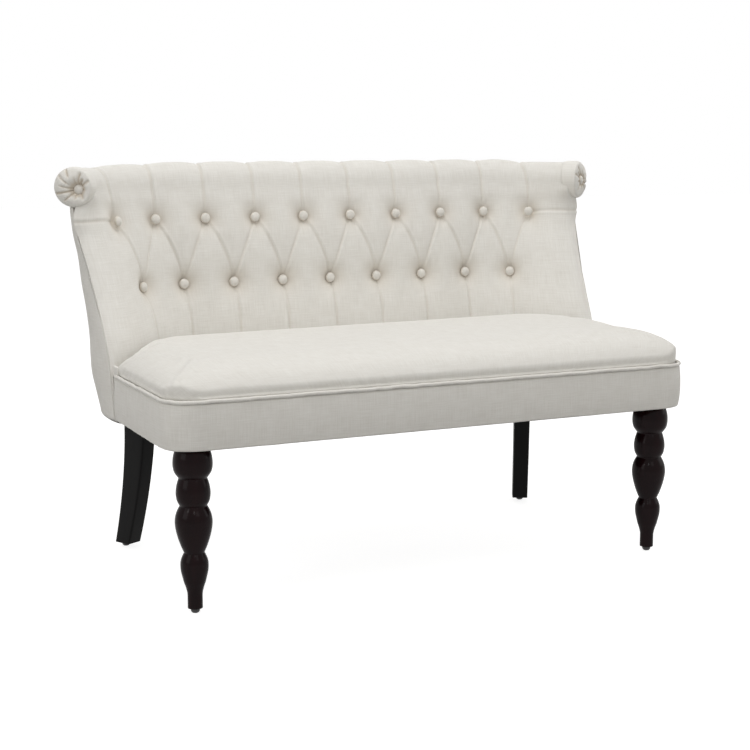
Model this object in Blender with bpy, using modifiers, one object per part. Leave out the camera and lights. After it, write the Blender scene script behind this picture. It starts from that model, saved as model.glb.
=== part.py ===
# Armless loveseat with a curved, button-tufted back and a rolled top
#
# Metres, +Z up. The origin is on the floor at the centre of the bounding box.
# The seat faces -Y. Left and right are as seen from the front, with +X to the right.

import math

import bmesh
import bpy
from mathutils import Matrix, Vector
from mathutils.bvhtree import BVHTree

# Overall sizes
SEAT_WIDTH = 1.080
DEPTH = 0.673
HEIGHT = 0.781
FRONT_Y = -DEPTH / 2
REAR_Y = DEPTH / 2
HALF_SEAT = SEAT_WIDTH / 2
CONTACT_GAP = 0.0003

# Seat frame, its boxing band and the welt on top of the band
SEAT_BOTTOM_Z = 0.300
SEAT_FRAME_HEIGHT = 0.0815
DECK_TOP_Z = SEAT_BOTTOM_Z + SEAT_FRAME_HEIGHT
DECK_THICKNESS = 0.006
RAIL_THICKNESS = 0.025
RAIL_CLEARANCE = 0.001
SIDE_RAIL_SETBACK = 0.2365
REAR_RAIL_INSET = 0.180
REAR_RAIL_DROP = 0.030
SEAT_CORNER_RADIUS = 0.060
BAND_THICKNESS = 0.009
BAND_BULGE = 0.002
BAND_ROLL = 0.006
WELT_RADIUS = 0.0035
DUST_COVER_THICKNESS = 0.0012
DUST_COVER_MARGIN = 0.011

# Cushion: its side swells over the welt, then the top domes up to the crown
CROWN_HEIGHT = 0.061
SHOULDER_HEIGHT = 0.020
SWELL_WIDTH = 0.160
SWELL_POWER = 5
REAR_FALL = 0.32
REAR_FALL_LENGTH = 0.115
REAR_FALL_SETBACK = 0.2865
CUSHION_HALF_DEPTH = 0.2565
CUSHION_RINGS = (0.010, 0.022, 0.038, 0.060, 0.090, 0.130, 0.180, 0.225)

# Back: the tufting plane leans back, and its wings sweep forward
BACK_FOOT_SETBACK = 0.1375
BEND_RADIUS = 0.180
BEND_ANGLE = math.radians(57)
PADDING = 0.026
WING_PADDING = 0.012
BACKING = 0.010
UPPER_ROW_SHARE = 0.9157
LOWER_ROW_SHARE = 0.4878
UPPER_BUTTONS = 10
BUTTON_MARGIN = 0.0495
PLEAT_DEPTH = 0.011
PLEAT_WIDTH = 0.011
TUFT_WIDTH = 0.028
LOW_PLEAT_LENGTH = 0.090
ROLL_PLEAT_DEPTH = 0.005
ROLL_PLEAT_WIDTH = 0.012

# Rolled top
ROLL_RADIUS = 0.045
ROLL_NECK = 0.046
ROLL_SETBACK = 0.04258
ROLL_END_TUCK = 0.003
CAP_RADIUS = 0.041
CAP_THICKNESS = 0.014
CAP_PLEATS = 12
ROLL_BUTTON_SHIFT = (-0.007, -0.006)

# Wing front edge: shares of the height from the seat's foot to the roll's neck,
# distances outside the seat's side, and distances ahead of the rearmost point
WING_HEIGHT_SHARES = (0.0, 0.333, 0.615, 0.769, 0.885, 1.0)
WING_OUTSETS = (0.000, 0.002, 0.010, 0.016, 0.020, 0.023)
WING_SETBACKS = (0.3325, 0.2965, 0.2405, 0.2105, 0.1885, 0.1755)
# Distance from the tufting plane to that edge at its foot and at the roll
WING_DEPTH_LOW = 0.022
WING_DEPTH_HIGH = 0.042

# Outside cover: shares of its height, its rear face ahead of the rearmost point,
# its widest point outside the seat's side, and that point ahead of the rearmost point
COVER_HEIGHT_SHARES = (0.0, 0.114, 0.306, 0.522, 0.726, 0.931, 1.0)
COVER_REAR_SETBACKS = (0.0785, 0.0745, 0.0685, 0.0585, 0.0475, 0.0365, 0.0333)
COVER_OUTSETS = (0.001, 0.006, 0.017, 0.026, 0.033, 0.034, 0.035)
COVER_WIDEST_SETBACKS = (0.2705, 0.2665, 0.2565, 0.2365, 0.2065, 0.1765, 0.1720)
COVER_THICKNESS = 0.003
COVER_TIP_DROP = 0.005
COVER_REAR_DROP = 0.050
COVER_FRONT_DROP = 0.002
COVER_SLOPE_LENGTH = 0.180
COVER_LIP = 0.016
WING_WELT_RADIUS = 0.0025
WING_WELT_SINK = 0.0015
WING_WELT_DROP = 0.004
FACING_THICKNESS = 0.006
FACING_DEPTH = 0.032

# Boards inside the back
BOARD_DEPTH = 0.026
TOP_RAIL_HEIGHT = 0.045
BOARD_CLEARANCE = 0.0015

# Covered buttons
BUTTON_RADIUS = 0.0105
BUTTON_DOME = 0.0065
BUTTON_BACK = 0.003

# Legs, with the blocks that they are bolted to
FRONT_LEG_INSET = 0.060
FRONT_LEG_SETBACK = 0.0555
FRONT_BLOCK_SIZE = 0.100
REAR_LEG_INSET = 0.093
REAR_LEG_SETBACK = 0.1715
REAR_LEG_DROP = 0.020
REAR_LEG_SPLAY = math.radians(28)
REAR_LEG_SWEEP = 0.043
REAR_LEG_TOP = (0.036, 0.050)
REAR_LEG_FOOT = (0.0275, 0.034)
REAR_LEG_CHAMFER = 0.003
REAR_BLOCK_SIZE = 0.070
GLIDE_HEIGHT = 0.009
GLIDE_RADIUS = 0.008
GLIDE_FLAT_RADIUS = 0.005
NAIL_RADIUS = 0.0015
NAIL_LENGTH = 0.012
BOLT_RADIUS = 0.004
BOLT_REACH = 0.045
LEG_SIDES = 22

# Turned profile of a front leg from the top bead to the ankle: radius, and the
# height above the glide, which is stretched to the height under the seat
LEG_PROFILE = (
    (0.0285, 0.2907), (0.0315, 0.279), (0.0336, 0.263), (0.0320, 0.250), (0.0245, 0.237),
    (0.0235, 0.232), (0.0262, 0.222), (0.0287, 0.207), (0.0265, 0.193), (0.0225, 0.183),
    (0.0258, 0.178), (0.0310, 0.166), (0.0320, 0.156), (0.0300, 0.140), (0.0265, 0.127),
    (0.0220, 0.113), (0.0178, 0.101), (0.0182, 0.097), (0.0222, 0.088), (0.0232, 0.077),
    (0.0213, 0.063), (0.0177, 0.048), (0.0140, 0.036), (0.0125, 0.027), (0.0124, 0.0),
)

# Places that follow from the sizes above
ROLL_AXIS_Z = HEIGHT - ROLL_RADIUS
ROLL_AXIS_Y = REAR_Y - ROLL_RADIUS
ROLL_FOOT_Z = ROLL_AXIS_Z - ROLL_NECK
BACK_FOOT_Y = REAR_Y - BACK_FOOT_SETBACK
BACK_TOP_Y = ROLL_AXIS_Y - ROLL_SETBACK
COVER_TOP_Z = ROLL_FOOT_Z + 2 * CONTACT_GAP
COVER_REAR_Z = SEAT_BOTTOM_Z - COVER_REAR_DROP
COVER_FRONT_Z = SEAT_BOTTOM_Z - COVER_FRONT_DROP
UPPER_ROW_Z = DECK_TOP_Z + UPPER_ROW_SHARE * (ROLL_FOOT_Z - DECK_TOP_Z)
LOWER_ROW_Z = DECK_TOP_Z + LOWER_ROW_SHARE * (ROLL_FOOT_Z - DECK_TOP_Z)
ROW_SPACING = UPPER_ROW_Z - LOWER_ROW_Z
PAD_FOOT_Z = DECK_TOP_Z + CONTACT_GAP
CUSHION_FOOT_Z = DECK_TOP_Z + CONTACT_GAP
BAND_REAR_Y = REAR_Y - WING_SETBACKS[0] - FACING_THICKNESS
BAND_WALL = BAND_BULGE + BAND_THICKNESS + CONTACT_GAP
RAIL_TOP_Z = DECK_TOP_Z - DECK_THICKNESS - CONTACT_GAP
SIDE_RAIL_REAR_Y = REAR_Y - SIDE_RAIL_SETBACK
FRONT_LEG_X = HALF_SEAT - FRONT_LEG_INSET
FRONT_LEG_Y = FRONT_Y + FRONT_LEG_SETBACK
REAR_LEG_X = HALF_SEAT - REAR_LEG_INSET
REAR_LEG_Y = REAR_Y - REAR_LEG_SETBACK
REAR_LEG_TOP_Z = SEAT_BOTTOM_Z - REAR_LEG_DROP
BUTTON_SPAN = SEAT_WIDTH - 2 * BUTTON_MARGIN
BUTTON_PITCH = BUTTON_SPAN / (UPPER_BUTTONS - 1)
QUARTER = BUTTON_PITCH / 4
ENDS = ((1, "right"), (-1, "left"))

LINEN = ("cream linen", (0.72, 0.69, 0.63, 1), 0.9, 0)
HARDWOOD = ("rail wood", (0.62, 0.47, 0.30, 1), 0.7, 0)
DARK_WOOD = ("dark turned wood", (0.035, 0.014, 0.010, 1), 0.25, 0)
BLACK_WOOD = ("black painted wood", (0.013, 0.012, 0.012, 1), 0.45, 0)
BLACK_CLOTH = ("dust cloth", (0.02, 0.02, 0.02, 1), 0.95, 0)
DECK_BOARD = ("deck board", (0.50, 0.40, 0.28, 1), 0.8, 0)
STEEL = ("zinc steel", (0.6, 0.6, 0.6, 1), 0.35, 1)
BLACK_PLASTIC = ("glide plastic", (0.02, 0.02, 0.02, 1), 0.4, 0)

for old in list(bpy.data.objects):
    bpy.data.objects.remove(old)

model = bpy.data.collections.new("armless_loveseat")
bpy.context.scene.collection.children.link(model)
guides = bpy.data.collections.new("cutters")
bpy.context.scene.collection.children.link(guides)


def material(look):
    name, colour, roughness, metallic = look
    mat = bpy.data.materials.get(name)
    if mat is None:
        mat = bpy.data.materials.new(name)
        mat.use_nodes = True
        shader = mat.node_tree.nodes["Principled BSDF"]
        shader.inputs["Base Color"].default_value = colour
        shader.inputs["Roughness"].default_value = roughness
        shader.inputs["Metallic"].default_value = metallic
    return mat


def add_object(name, data, look, smooth=40):
    obj = bpy.data.objects.new(name, data)
    model.objects.link(obj)
    data.materials.clear()
    data.materials.append(material(look))
    if smooth and isinstance(data, bpy.types.Mesh):
        data.shade_smooth()
        data.set_sharp_from_angle(angle=math.radians(smooth))
    return obj


def mesh_from(bm, name):
    bmesh.ops.recalc_face_normals(bm, faces=bm.faces)
    mesh = bpy.data.meshes.new(name)
    bm.to_mesh(mesh)
    bm.free()
    return mesh


# Loft through closed rings of equal count, capped at both ends
def loft(name, rings, look, smooth=40):
    around = len(rings[0])
    bm = bmesh.new()
    bmesh.ops.create_grid(bm, x_segments=around, y_segments=len(rings) - 1, size=1)
    bm.verts.ensure_lookup_table()
    for row, ring in enumerate(rings):
        for column in range(around + 1):
            bm.verts[row * (around + 1) + column].co = ring[column % around]
    bmesh.ops.remove_doubles(bm, verts=bm.verts, dist=0.00001)
    rims = [edge for edge in bm.edges if edge.is_boundary]
    bmesh.ops.holes_fill(bm, edges=rims, sides=0)
    bmesh.ops.triangulate(bm, faces=bm.faces)
    return add_object(name, mesh_from(bm, name), look, smooth)


# Solid plate from a plan outline
def plate(name, outline, z_low, z_high, look):
    curve = bpy.data.curves.new(name, "CURVE")
    curve.dimensions = "2D"
    curve.fill_mode = "BOTH"
    curve.extrude = (z_high - z_low) / 2
    spline = curve.splines.new("POLY")
    spline.points.add(len(outline) - 1)
    for point, (x, y) in zip(spline.points, outline):
        point.co = (x, y, 0, 1)
    spline.use_cyclic_u = True
    obj = add_object(name + "_outline", curve, look)
    solid = add_object(name, shaped_mesh(obj, name), look, smooth=0)
    solid.location.z = (z_low + z_high) / 2
    return solid


def cord(name, points, radius, look):
    curve = bpy.data.curves.new(name, "CURVE")
    curve.dimensions = "3D"
    curve.bevel_depth = radius
    curve.bevel_resolution = 2
    curve.use_fill_caps = True
    spline = curve.splines.new("POLY")
    spline.points.add(len(points) - 1)
    for point, place in zip(spline.points, points):
        point.co = (*place, 1)
    return add_object(name, curve, look)


def box(name, low, high, look, bevel=0.0015):
    bm = bmesh.new()
    bmesh.ops.create_cube(bm, size=1)
    for vert in bm.verts:
        for axis in range(3):
            vert.co[axis] = high[axis] if vert.co[axis] > 0 else low[axis]
    obj = add_object(name, mesh_from(bm, name), look, smooth=0)
    edge = obj.modifiers.new("Eased edges", "BEVEL")
    edge.width = bevel
    edge.segments = 1
    return obj


# Mesh of an object as its modifiers or its curve shape it, with loose caps welded
def shaped_mesh(obj, name):
    bpy.context.view_layer.update()
    evaluated = obj.evaluated_get(bpy.context.evaluated_depsgraph_get())
    mesh = bpy.data.meshes.new_from_object(evaluated)
    mesh.name = name
    bm = bmesh.new()
    bm.from_mesh(mesh)
    bmesh.ops.remove_doubles(bm, verts=bm.verts, dist=0.00001)
    bm.to_mesh(mesh)
    bm.free()
    bpy.data.objects.remove(obj)
    return mesh


# Turned solid, from a profile of radius and height that runs down its outer side
def turned_mesh(name, profile, sides):
    bm = bmesh.new()
    points = [bm.verts.new((radius, 0, z)) for radius, z in profile]
    for upper, lower in zip(points, points[1:]):
        bm.edges.new((upper, lower))
    line = bpy.data.meshes.new(name + "_profile")
    bm.to_mesh(line)
    bm.free()
    blank = bpy.data.objects.new(name + "_profile", line)
    model.objects.link(blank)
    lathe = blank.modifiers.new("Turning", "SCREW")
    lathe.steps = sides
    lathe.render_steps = sides
    lathe.use_merge_vertices = True
    lathe.merge_threshold = 0.00001
    return shaped_mesh(blank, name)


def cylinder_mesh(name, radius, length):
    bm = bmesh.new()
    bmesh.ops.create_cone(
        bm, cap_ends=True, segments=12, radius1=radius, radius2=radius, depth=length
    )
    return mesh_from(bm, name)


# Vertical hole for a bolt or a nail
def drill(obj, centre, radius, z_low, z_high):
    cutter = bpy.data.objects.new("drill_" + obj.name, cylinder_mesh("drill", radius, z_high - z_low))
    cutter.location = (centre[0], centre[1], (z_low + z_high) / 2)
    cutter.hide_render = True
    cutter.display_type = "WIRE"
    guides.objects.link(cutter)
    cut = obj.modifiers.new("Hole", "BOOLEAN")
    cut.operation = "DIFFERENCE"
    cut.solver = "EXACT"
    cut.object = cutter


def between(value, low, high):
    return max(0.0, min(1.0, (value - low) / (high - low)))


# Value at a share from 0 to 1, read between the values that go with a list of shares
def read_between(shares, values, share):
    for index in range(1, len(shares)):
        if share <= shares[index]:
            break
    part = (share - shares[index - 1]) / (shares[index] - shares[index - 1])
    return values[index - 1] + part * (values[index] - values[index - 1])


def wing_edge(z):
    share = between(z, SEAT_BOTTOM_Z, ROLL_FOOT_Z)
    outset = read_between(WING_HEIGHT_SHARES, WING_OUTSETS, share)
    setback = read_between(WING_HEIGHT_SHARES, WING_SETBACKS, share)
    return Vector((HALF_SEAT + outset, REAR_Y - setback))


# Plan of the tufting plane at one height: straight, then an arc, then a straight wing
class Plan:
    def __init__(self, z):
        self.z = z
        self.edge = wing_edge(z)
        rise = between(z, SEAT_BOTTOM_Z, ROLL_FOOT_Z)
        self.rear = BACK_FOOT_Y + rise * (BACK_TOP_Y - BACK_FOOT_Y)
        self.depth = WING_DEPTH_LOW + rise * (WING_DEPTH_HIGH - WING_DEPTH_LOW)
        sine = math.sin(BEND_ANGLE)
        cosine = math.cos(BEND_ANGLE)
        drop = BEND_RADIUS * (1 - cosine)
        reach = (self.depth - (self.edge.y - self.rear + drop) * cosine) / sine
        self.bend_x = self.edge.x - BEND_RADIUS * sine - reach
        self.bend_end = self.bend_x + BEND_RADIUS * BEND_ANGLE
        self.corner = Vector((self.bend_x + BEND_RADIUS * sine, self.rear - drop))
        self.heading = Vector((cosine, -sine))
        self.outward = Vector((sine, cosine))
        self.length = self.bend_end + (self.edge - self.corner).dot(self.heading)

    # Point at a distance along the plan, moved outward by an offset
    def point(self, along, offset, z=None):
        side = math.copysign(1, along)
        run = abs(along)
        if run <= self.bend_x:
            place = Vector((run, self.rear + offset))
        elif run <= self.bend_end:
            turn = (run - self.bend_x) / BEND_RADIUS
            radius = BEND_RADIUS + offset
            place = Vector((self.bend_x + radius * math.sin(turn), 0))
            place.y = self.rear - BEND_RADIUS + radius * math.cos(turn)
        else:
            place = self.corner + self.heading * (run - self.bend_end) + self.outward * offset
        return Vector((side * place.x, place.y, self.z if z is None else z))


# Stations along the back are counted in quarter pitches, then in shares of the wing
LAST_BUTTON = BUTTON_SPAN / 2
QUARTERS = 2 * (UPPER_BUTTONS - 1)
WING_SHARES = (0.22, 0.45, 0.68, 0.86, 0.96, 1.0)


def station_places():
    inner = [("pad", count * QUARTER) for count in range(QUARTERS + 1)]
    outer = [("wing", share) for share in WING_SHARES]
    right = inner + outer
    left = [(kind, -value) for kind, value in reversed(right[1:])]
    return left + right


def along_at(plan, station):
    kind, value = station
    if kind == "pad":
        return value
    side = math.copysign(1, value)
    return side * (LAST_BUTTON + abs(value) * (plan.length - LAST_BUTTON))


def distance_to_segment(point, start, end):
    run = end - start
    share = max(0.0, min(1.0, (point - start).dot(run) / run.length_squared))
    return (point - start - run * share).length


# The lower buttons sit midway between the upper ones
UPPER_PLACES = [count * BUTTON_PITCH - LAST_BUTTON for count in range(UPPER_BUTTONS)]
LOWER_PLACES = [place + BUTTON_PITCH / 2 for place in UPPER_PLACES[:-1]]
END_PLEAT_SHARE = 0.8


# Pleats between the rows, down from the lower row, up over the roll and out to the wings
def pleat_lines():
    lines = []
    for low in LOWER_PLACES:
        foot = Vector((low, LOWER_ROW_Z))
        for high in (low - BUTTON_PITCH / 2, low + BUTTON_PITCH / 2):
            lines.append((foot, Vector((high, UPPER_ROW_Z))))
        lines.append((foot, Vector((low, LOWER_ROW_Z - LOW_PLEAT_LENGTH))))
    for high in UPPER_PLACES:
        head = Vector((high, UPPER_ROW_Z))
        lines.append((head, Vector((high, ROLL_AXIS_Z))))
    for high in (UPPER_PLACES[0], UPPER_PLACES[-1]):
        head = Vector((high, UPPER_ROW_Z))
        reach = math.copysign(END_PLEAT_SHARE * BUTTON_PITCH, high)
        lines.append((head, Vector((high + reach, UPPER_ROW_Z))))
    return lines


PLEATS = pleat_lines()


# Padded thickness in front of the tufting plane
def padding(along, z):
    here = Vector((along, z))
    wing = between(abs(along), LAST_BUTTON, LAST_BUTTON + BUTTON_PITCH)
    crest = PADDING + wing * (WING_PADDING - PADDING)
    relief = 0.0
    for places, row in ((UPPER_PLACES, UPPER_ROW_Z), (LOWER_PLACES, LOWER_ROW_Z)):
        for place in places:
            gap = (here - Vector((place, row))).length
            relief = max(relief, crest * math.exp(-((gap / TUFT_WIDTH) ** 2)))
    for start, end in PLEATS:
        gap = distance_to_segment(here, start, end)
        relief = max(relief, PLEAT_DEPTH * math.exp(-((gap / PLEAT_WIDTH) ** 2)))
    return crest - relief


# Heights of the pad's rings: up the front through both tuft rows, then down its back
def pad_heights():
    below = [PAD_FOOT_Z + share * (LOWER_ROW_Z - PAD_FOOT_Z) for share in (0, 0.26, 0.52, 0.79)]
    tufted = [LOWER_ROW_Z + share * ROW_SPACING for share in (0, 0.25, 0.5, 0.75, 1)]
    front = below + tufted + [ROLL_FOOT_Z]
    back = [PAD_FOOT_Z + share * (ROLL_FOOT_Z - PAD_FOOT_Z) for share in (0.98, 0.71, 0.38, 0)]
    return front, back


FRONT_HEIGHTS, BACK_HEIGHTS = pad_heights()
# Angles round the roll from its front neck, over the top, to its underside
ROLL_ANGLES = (172, 146, 118, 90, 66, 43, 21, 0, -32, -68)
NECK_SHARE = 0.6
TIP_SHARE = 0.75
ROLL_PLAN = Plan(ROLL_FOOT_Z)


def pad_ring(station):
    kind, value = station
    ring = []
    share = abs(value) if kind == "wing" else 0.0
    rounding = (between(share, 0.80, 1.0)) ** 2
    wrap = between(share, 0.62, 0.92)
    for z in FRONT_HEIGHTS:
        plan = Plan(z)
        along = along_at(plan, station)
        front = -padding(along, z)
        if z == ROLL_FOOT_Z:
            front *= NECK_SHARE
        tip = plan.depth - 2 * COVER_THICKNESS
        ring.append(plan.point(along, front + TIP_SHARE * rounding * (tip - front), z))
    along = along_at(ROLL_PLAN, station)
    pleat = max(math.exp(-(((along - place) / ROLL_PLEAT_WIDTH) ** 2)) for place in UPPER_PLACES)
    for angle in ROLL_ANGLES:
        turn = math.radians(angle)
        fade = between(angle, -20, 60)
        radius = ROLL_RADIUS - ROLL_PLEAT_DEPTH * pleat * fade - ROLL_END_TUCK * rounding
        offset = ROLL_SETBACK + radius * math.cos(turn)
        ring.append(ROLL_PLAN.point(along, offset, ROLL_AXIS_Z + radius * math.sin(turn)))
    for z in BACK_HEIGHTS:
        plan = Plan(z)
        along = along_at(plan, station)
        tip = plan.depth - 2 * COVER_THICKNESS
        ring.append(plan.point(along, BACKING + wrap * (tip - BACKING), z))
    return ring


COVER_TURN_SHARES = (0.09, 0.20, 0.31, 0.42, 0.53, 0.64, 0.75, 0.85, 0.94, 1.0)


# The outside cover's plan: straight rear, round corner, and back in to the wing edge
class CoverPlan:
    def __init__(self, z):
        share = between(z, COVER_REAR_Z, COVER_TOP_Z)
        self.edge = wing_edge(z)
        self.rear = REAR_Y - read_between(COVER_HEIGHT_SHARES, COVER_REAR_SETBACKS, share)
        widest = HALF_SEAT + read_between(COVER_HEIGHT_SHARES, COVER_OUTSETS, share)
        middle_y = REAR_Y - read_between(COVER_HEIGHT_SHARES, COVER_WIDEST_SETBACKS, share)
        self.radius = self.rear - middle_y
        self.centre = Vector((widest - self.radius, middle_y))
        past = max(-1.0, min(1.0, (middle_y - self.edge.y) / self.radius))
        self.turn = math.pi / 2 + math.asin(past)

    def point(self, station, inset, z):
        kind, value = station
        side = math.copysign(1, value)
        share = abs(value)
        if kind == "flat":
            return Vector((side * self.centre.x * share, self.rear - inset, z))
        turn = self.turn * min(share, COVER_TURN_SHARES[-2])
        normal = Vector((math.sin(turn), math.cos(turn)))
        place = self.centre + normal * (self.radius - inset)
        if share == 1:
            place = self.edge - normal * inset
        return Vector((side * place.x, place.y, z))


def cover_stations():
    right = [("flat", 0.0), ("flat", 0.35), ("flat", 0.7), ("flat", 1.0)]
    right += [("turn", share) for share in COVER_TURN_SHARES]
    left = [(kind, -value) for kind, value in reversed(right[1:])]
    return left + right


# The cover's foot slopes up towards the wings, and its bottom edge rolls inward
def cover_ring(station):
    probe = CoverPlan(COVER_FRONT_Z).point(station, 0, 0)
    slope = between(COVER_SLOPE_LENGTH - probe.y, 0, COVER_SLOPE_LENGTH)
    foot = COVER_REAR_Z + slope * (COVER_FRONT_Z - COVER_REAR_Z)
    lip = COVER_LIP * (1 - 0.8 * slope)
    wall = COVER_THICKNESS
    near_tip = between(abs(station[1]), COVER_TURN_SHARES[-3], COVER_TURN_SHARES[-2])
    top = COVER_TOP_Z - (COVER_TIP_DROP * near_tip if station[0] == "turn" else 0)
    rise = ROLL_FOOT_Z - SEAT_BOTTOM_Z
    heights = [SEAT_BOTTOM_Z + share * rise for share in WING_HEIGHT_SHARES[1:-1]] + [top]
    outside = [(lip, foot), (lip * 0.35, foot + COVER_LIP * 0.25), (0, foot + COVER_LIP * 1.12)]
    outside += [(0, z) for z in heights]
    inside = [(wall, z) for z in reversed(heights)]
    inside += [(wall, foot + COVER_LIP * 1.19), (wall + lip * 0.35, foot + COVER_LIP * 0.41)]
    inside += [(wall + lip * 0.8, foot + COVER_LIP * 0.19)]
    return [CoverPlan(z).point(station, inset, z) for inset, z in outside + inside]


# Right half of the seat's plan: from its side at the wing, round the front corner
def seat_side(inset, rear_y, corner_steps=6):
    radius = SEAT_CORNER_RADIUS - inset
    points = [Vector((HALF_SEAT - inset, rear_y))]
    centre = Vector((HALF_SEAT - SEAT_CORNER_RADIUS, FRONT_Y + SEAT_CORNER_RADIUS))
    for step in range(corner_steps + 1):
        turn = math.radians(90 * step / corner_steps)
        points.append(centre + radius * Vector((math.cos(turn), -math.sin(turn))))
    return points


def cushion_outline():
    plan = Plan(PAD_FOOT_Z)
    right = []
    for station in station_places():
        kind, value = station
        if value >= 0 and abs(value) < 1:
            along = along_at(plan, station)
            gap = padding(along, PAD_FOOT_Z) + 2 * CONTACT_GAP
            right.append(plan.point(along, -gap).to_2d())
    tip = plan.edge + plan.heading * 2 * CONTACT_GAP
    right.append(tip - plan.outward * (plan.depth + WING_PADDING + CONTACT_GAP))
    side = seat_side(0.0, plan.edge.y - 4 * WING_WELT_RADIUS)
    right += [side[0], side[0].lerp(side[1], 0.5)] + side[1:]
    right += [Vector((HALF_SEAT * share, FRONT_Y)) for share in (0.6, 0.3)]
    left = [Vector((-point.x, point.y)) for point in reversed(right[1:])]
    return right + left


# The top swells up from the open sides to the crown, and falls a little to the back
def crown_z(x, y):
    swell = 1.0
    for inset in (HALF_SEAT - abs(x), y - FRONT_Y):
        swell *= 1 - (1 - between(inset, 0, SWELL_WIDTH)) ** SWELL_POWER
    fall = REAR_FALL * (max(0.0, y - REAR_Y + REAR_FALL_SETBACK) / REAR_FALL_LENGTH) ** 2
    low = CUSHION_FOOT_Z + SHOULDER_HEIGHT
    return low + (CUSHION_FOOT_Z + CROWN_HEIGHT - low) * swell * (1 - fall)


def build_cushion():
    outline = cushion_outline()
    centre = Vector((0, FRONT_Y + CUSHION_HALF_DEPTH))
    reach = Vector((HALF_SEAT, CUSHION_HALF_DEPTH))
    waist = 2 * WELT_RADIUS + CONTACT_GAP
    side = [(waist, 0.0), (waist, 0.5), (BAND_BULGE, 0.75), (BAND_BULGE, 1.0)]
    rings = [[] for row in range(len(side) + len(CUSHION_RINGS))]
    for point in outline:
        run = point - centre
        size = max(abs(run.x) / reach.x, abs(run.y) / reach.y)
        inward = Vector((run.x / reach.x, run.y / reach.y)) / size
        open_side = 1 - between(point.y, wing_edge(CUSHION_FOOT_Z).y, BACK_FOOT_Y)
        for row, (inset, share) in enumerate(side):
            place = point - inward * inset * open_side
            height = CUSHION_FOOT_Z + share * SHOULDER_HEIGHT
            if share == 1.0:
                height = crown_z(place.x, place.y)
            rings[row].append(Vector((place.x, place.y, height)))
        for row, inset in enumerate(CUSHION_RINGS, len(side)):
            place = point - inward * inset
            rings[row].append(Vector((place.x, place.y, crown_z(place.x, place.y))))
    return loft("seat_cushion", rings, LINEN, smooth=60)


def build_band():
    bottom = SEAT_BOTTOM_Z
    top = DECK_TOP_Z
    wall = BAND_THICKNESS
    # Distance inward from the band's face and height, round the section
    section = [
        (BAND_BULGE, bottom), (0, bottom + BAND_ROLL), (-BAND_BULGE, bottom + 0.4 * (top - bottom)),
        (0, top - BAND_ROLL), (BAND_BULGE, top), (wall, top), (wall, bottom + 0.4 * (top - bottom)),
        (wall, bottom),
    ]
    centre = Vector((HALF_SEAT - SEAT_CORNER_RADIUS, FRONT_Y + SEAT_CORNER_RADIUS))
    straight = [HALF_SEAT * share for share in (0.0, 0.3, 0.6)]
    rings = [[Vector((x, FRONT_Y + BAND_BULGE + inset, z)) for inset, z in section] for x in straight]
    for step in range(7):
        turn = math.radians(15 * step)
        ring = []
        for inset, z in section:
            radius = SEAT_CORNER_RADIUS - BAND_BULGE - inset
            ring.append(Vector((centre.x + radius * math.sin(turn), centre.y - radius * math.cos(turn), z)))
        rings.append(ring)
    for share in (0.33, 0.66, 1.0):
        y = centre.y + share * (BAND_REAR_Y - centre.y)
        rings.append([Vector((HALF_SEAT - BAND_BULGE - inset, y, z)) for inset, z in section])
    left = [[Vector((-p.x, p.y, p.z)) for p in ring] for ring in reversed(rings[1:])]
    return loft("seat_band", left + rings, LINEN)


def build_seat_welt():
    z = DECK_TOP_Z + CONTACT_GAP + WELT_RADIUS
    right = seat_side(WELT_RADIUS, BAND_REAR_Y - 0.001, corner_steps=8)
    points = [Vector((-p.x, p.y, z)) for p in right] + [Vector((p.x, p.y, z)) for p in reversed(right)]
    return cord("seat_welt", points, WELT_RADIUS, LINEN)


# Welt down each wing's front edge, and the facing that closes the wing to the seat band
def build_wing_trim():
    steps = 12
    low_z = COVER_FRONT_Z
    high_z = ROLL_FOOT_Z - WING_WELT_DROP
    for side, name in ENDS:
        points = []
        for step in range(steps + 1):
            z = low_z + (high_z - low_z) * step / steps
            plan = Plan(z)
            place = plan.edge + plan.heading * (WING_WELT_RADIUS + 2 * CONTACT_GAP)
            place = place - plan.outward * WING_WELT_SINK
            points.append((side * place.x, place.y, z))
        cord("wing_welt_" + name, points, WING_WELT_RADIUS, LINEN)
        inner = HALF_SEAT - BAND_WALL + 2 * CONTACT_GAP
        xs = sorted((side * inner, side * (inner + FACING_THICKNESS)))
        front = BAND_REAR_Y + CONTACT_GAP
        low = (xs[0], front, COVER_FRONT_Z + FACING_THICKNESS)
        box("wing_facing_" + name, low, (xs[1], front + FACING_DEPTH, DECK_TOP_Z), LINEN)


# A covered button is pushed in until it meets the cloth, then eased out until it is clear
def seat_on(mesh, matrix, direction, tree):
    faces = [face.vertices for face in mesh.polygons]
    reach = []
    for vert in mesh.vertices:
        hit = tree.ray_cast(matrix @ vert.co + direction * 0.02, -direction)
        if hit[0] is not None:
            reach.append(hit[3] - 0.02)
    matrix = Matrix.Translation(-direction * min(reach)) @ matrix
    while tree.overlap(BVHTree.FromPolygons([matrix @ vert.co for vert in mesh.vertices], faces)):
        matrix = Matrix.Translation(direction * CONTACT_GAP) @ matrix
    return Matrix.Translation(direction * CONTACT_GAP) @ matrix


def facing_matrix(place, direction):
    turn = direction.to_track_quat("Z", "Y").to_matrix().to_4x4()
    return Matrix.Translation(place) @ turn


def tree_of(obj):
    places = [obj.matrix_world @ vert.co for vert in obj.data.vertices]
    return BVHTree.FromPolygons(places, [face.vertices for face in obj.data.polygons])


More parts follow.
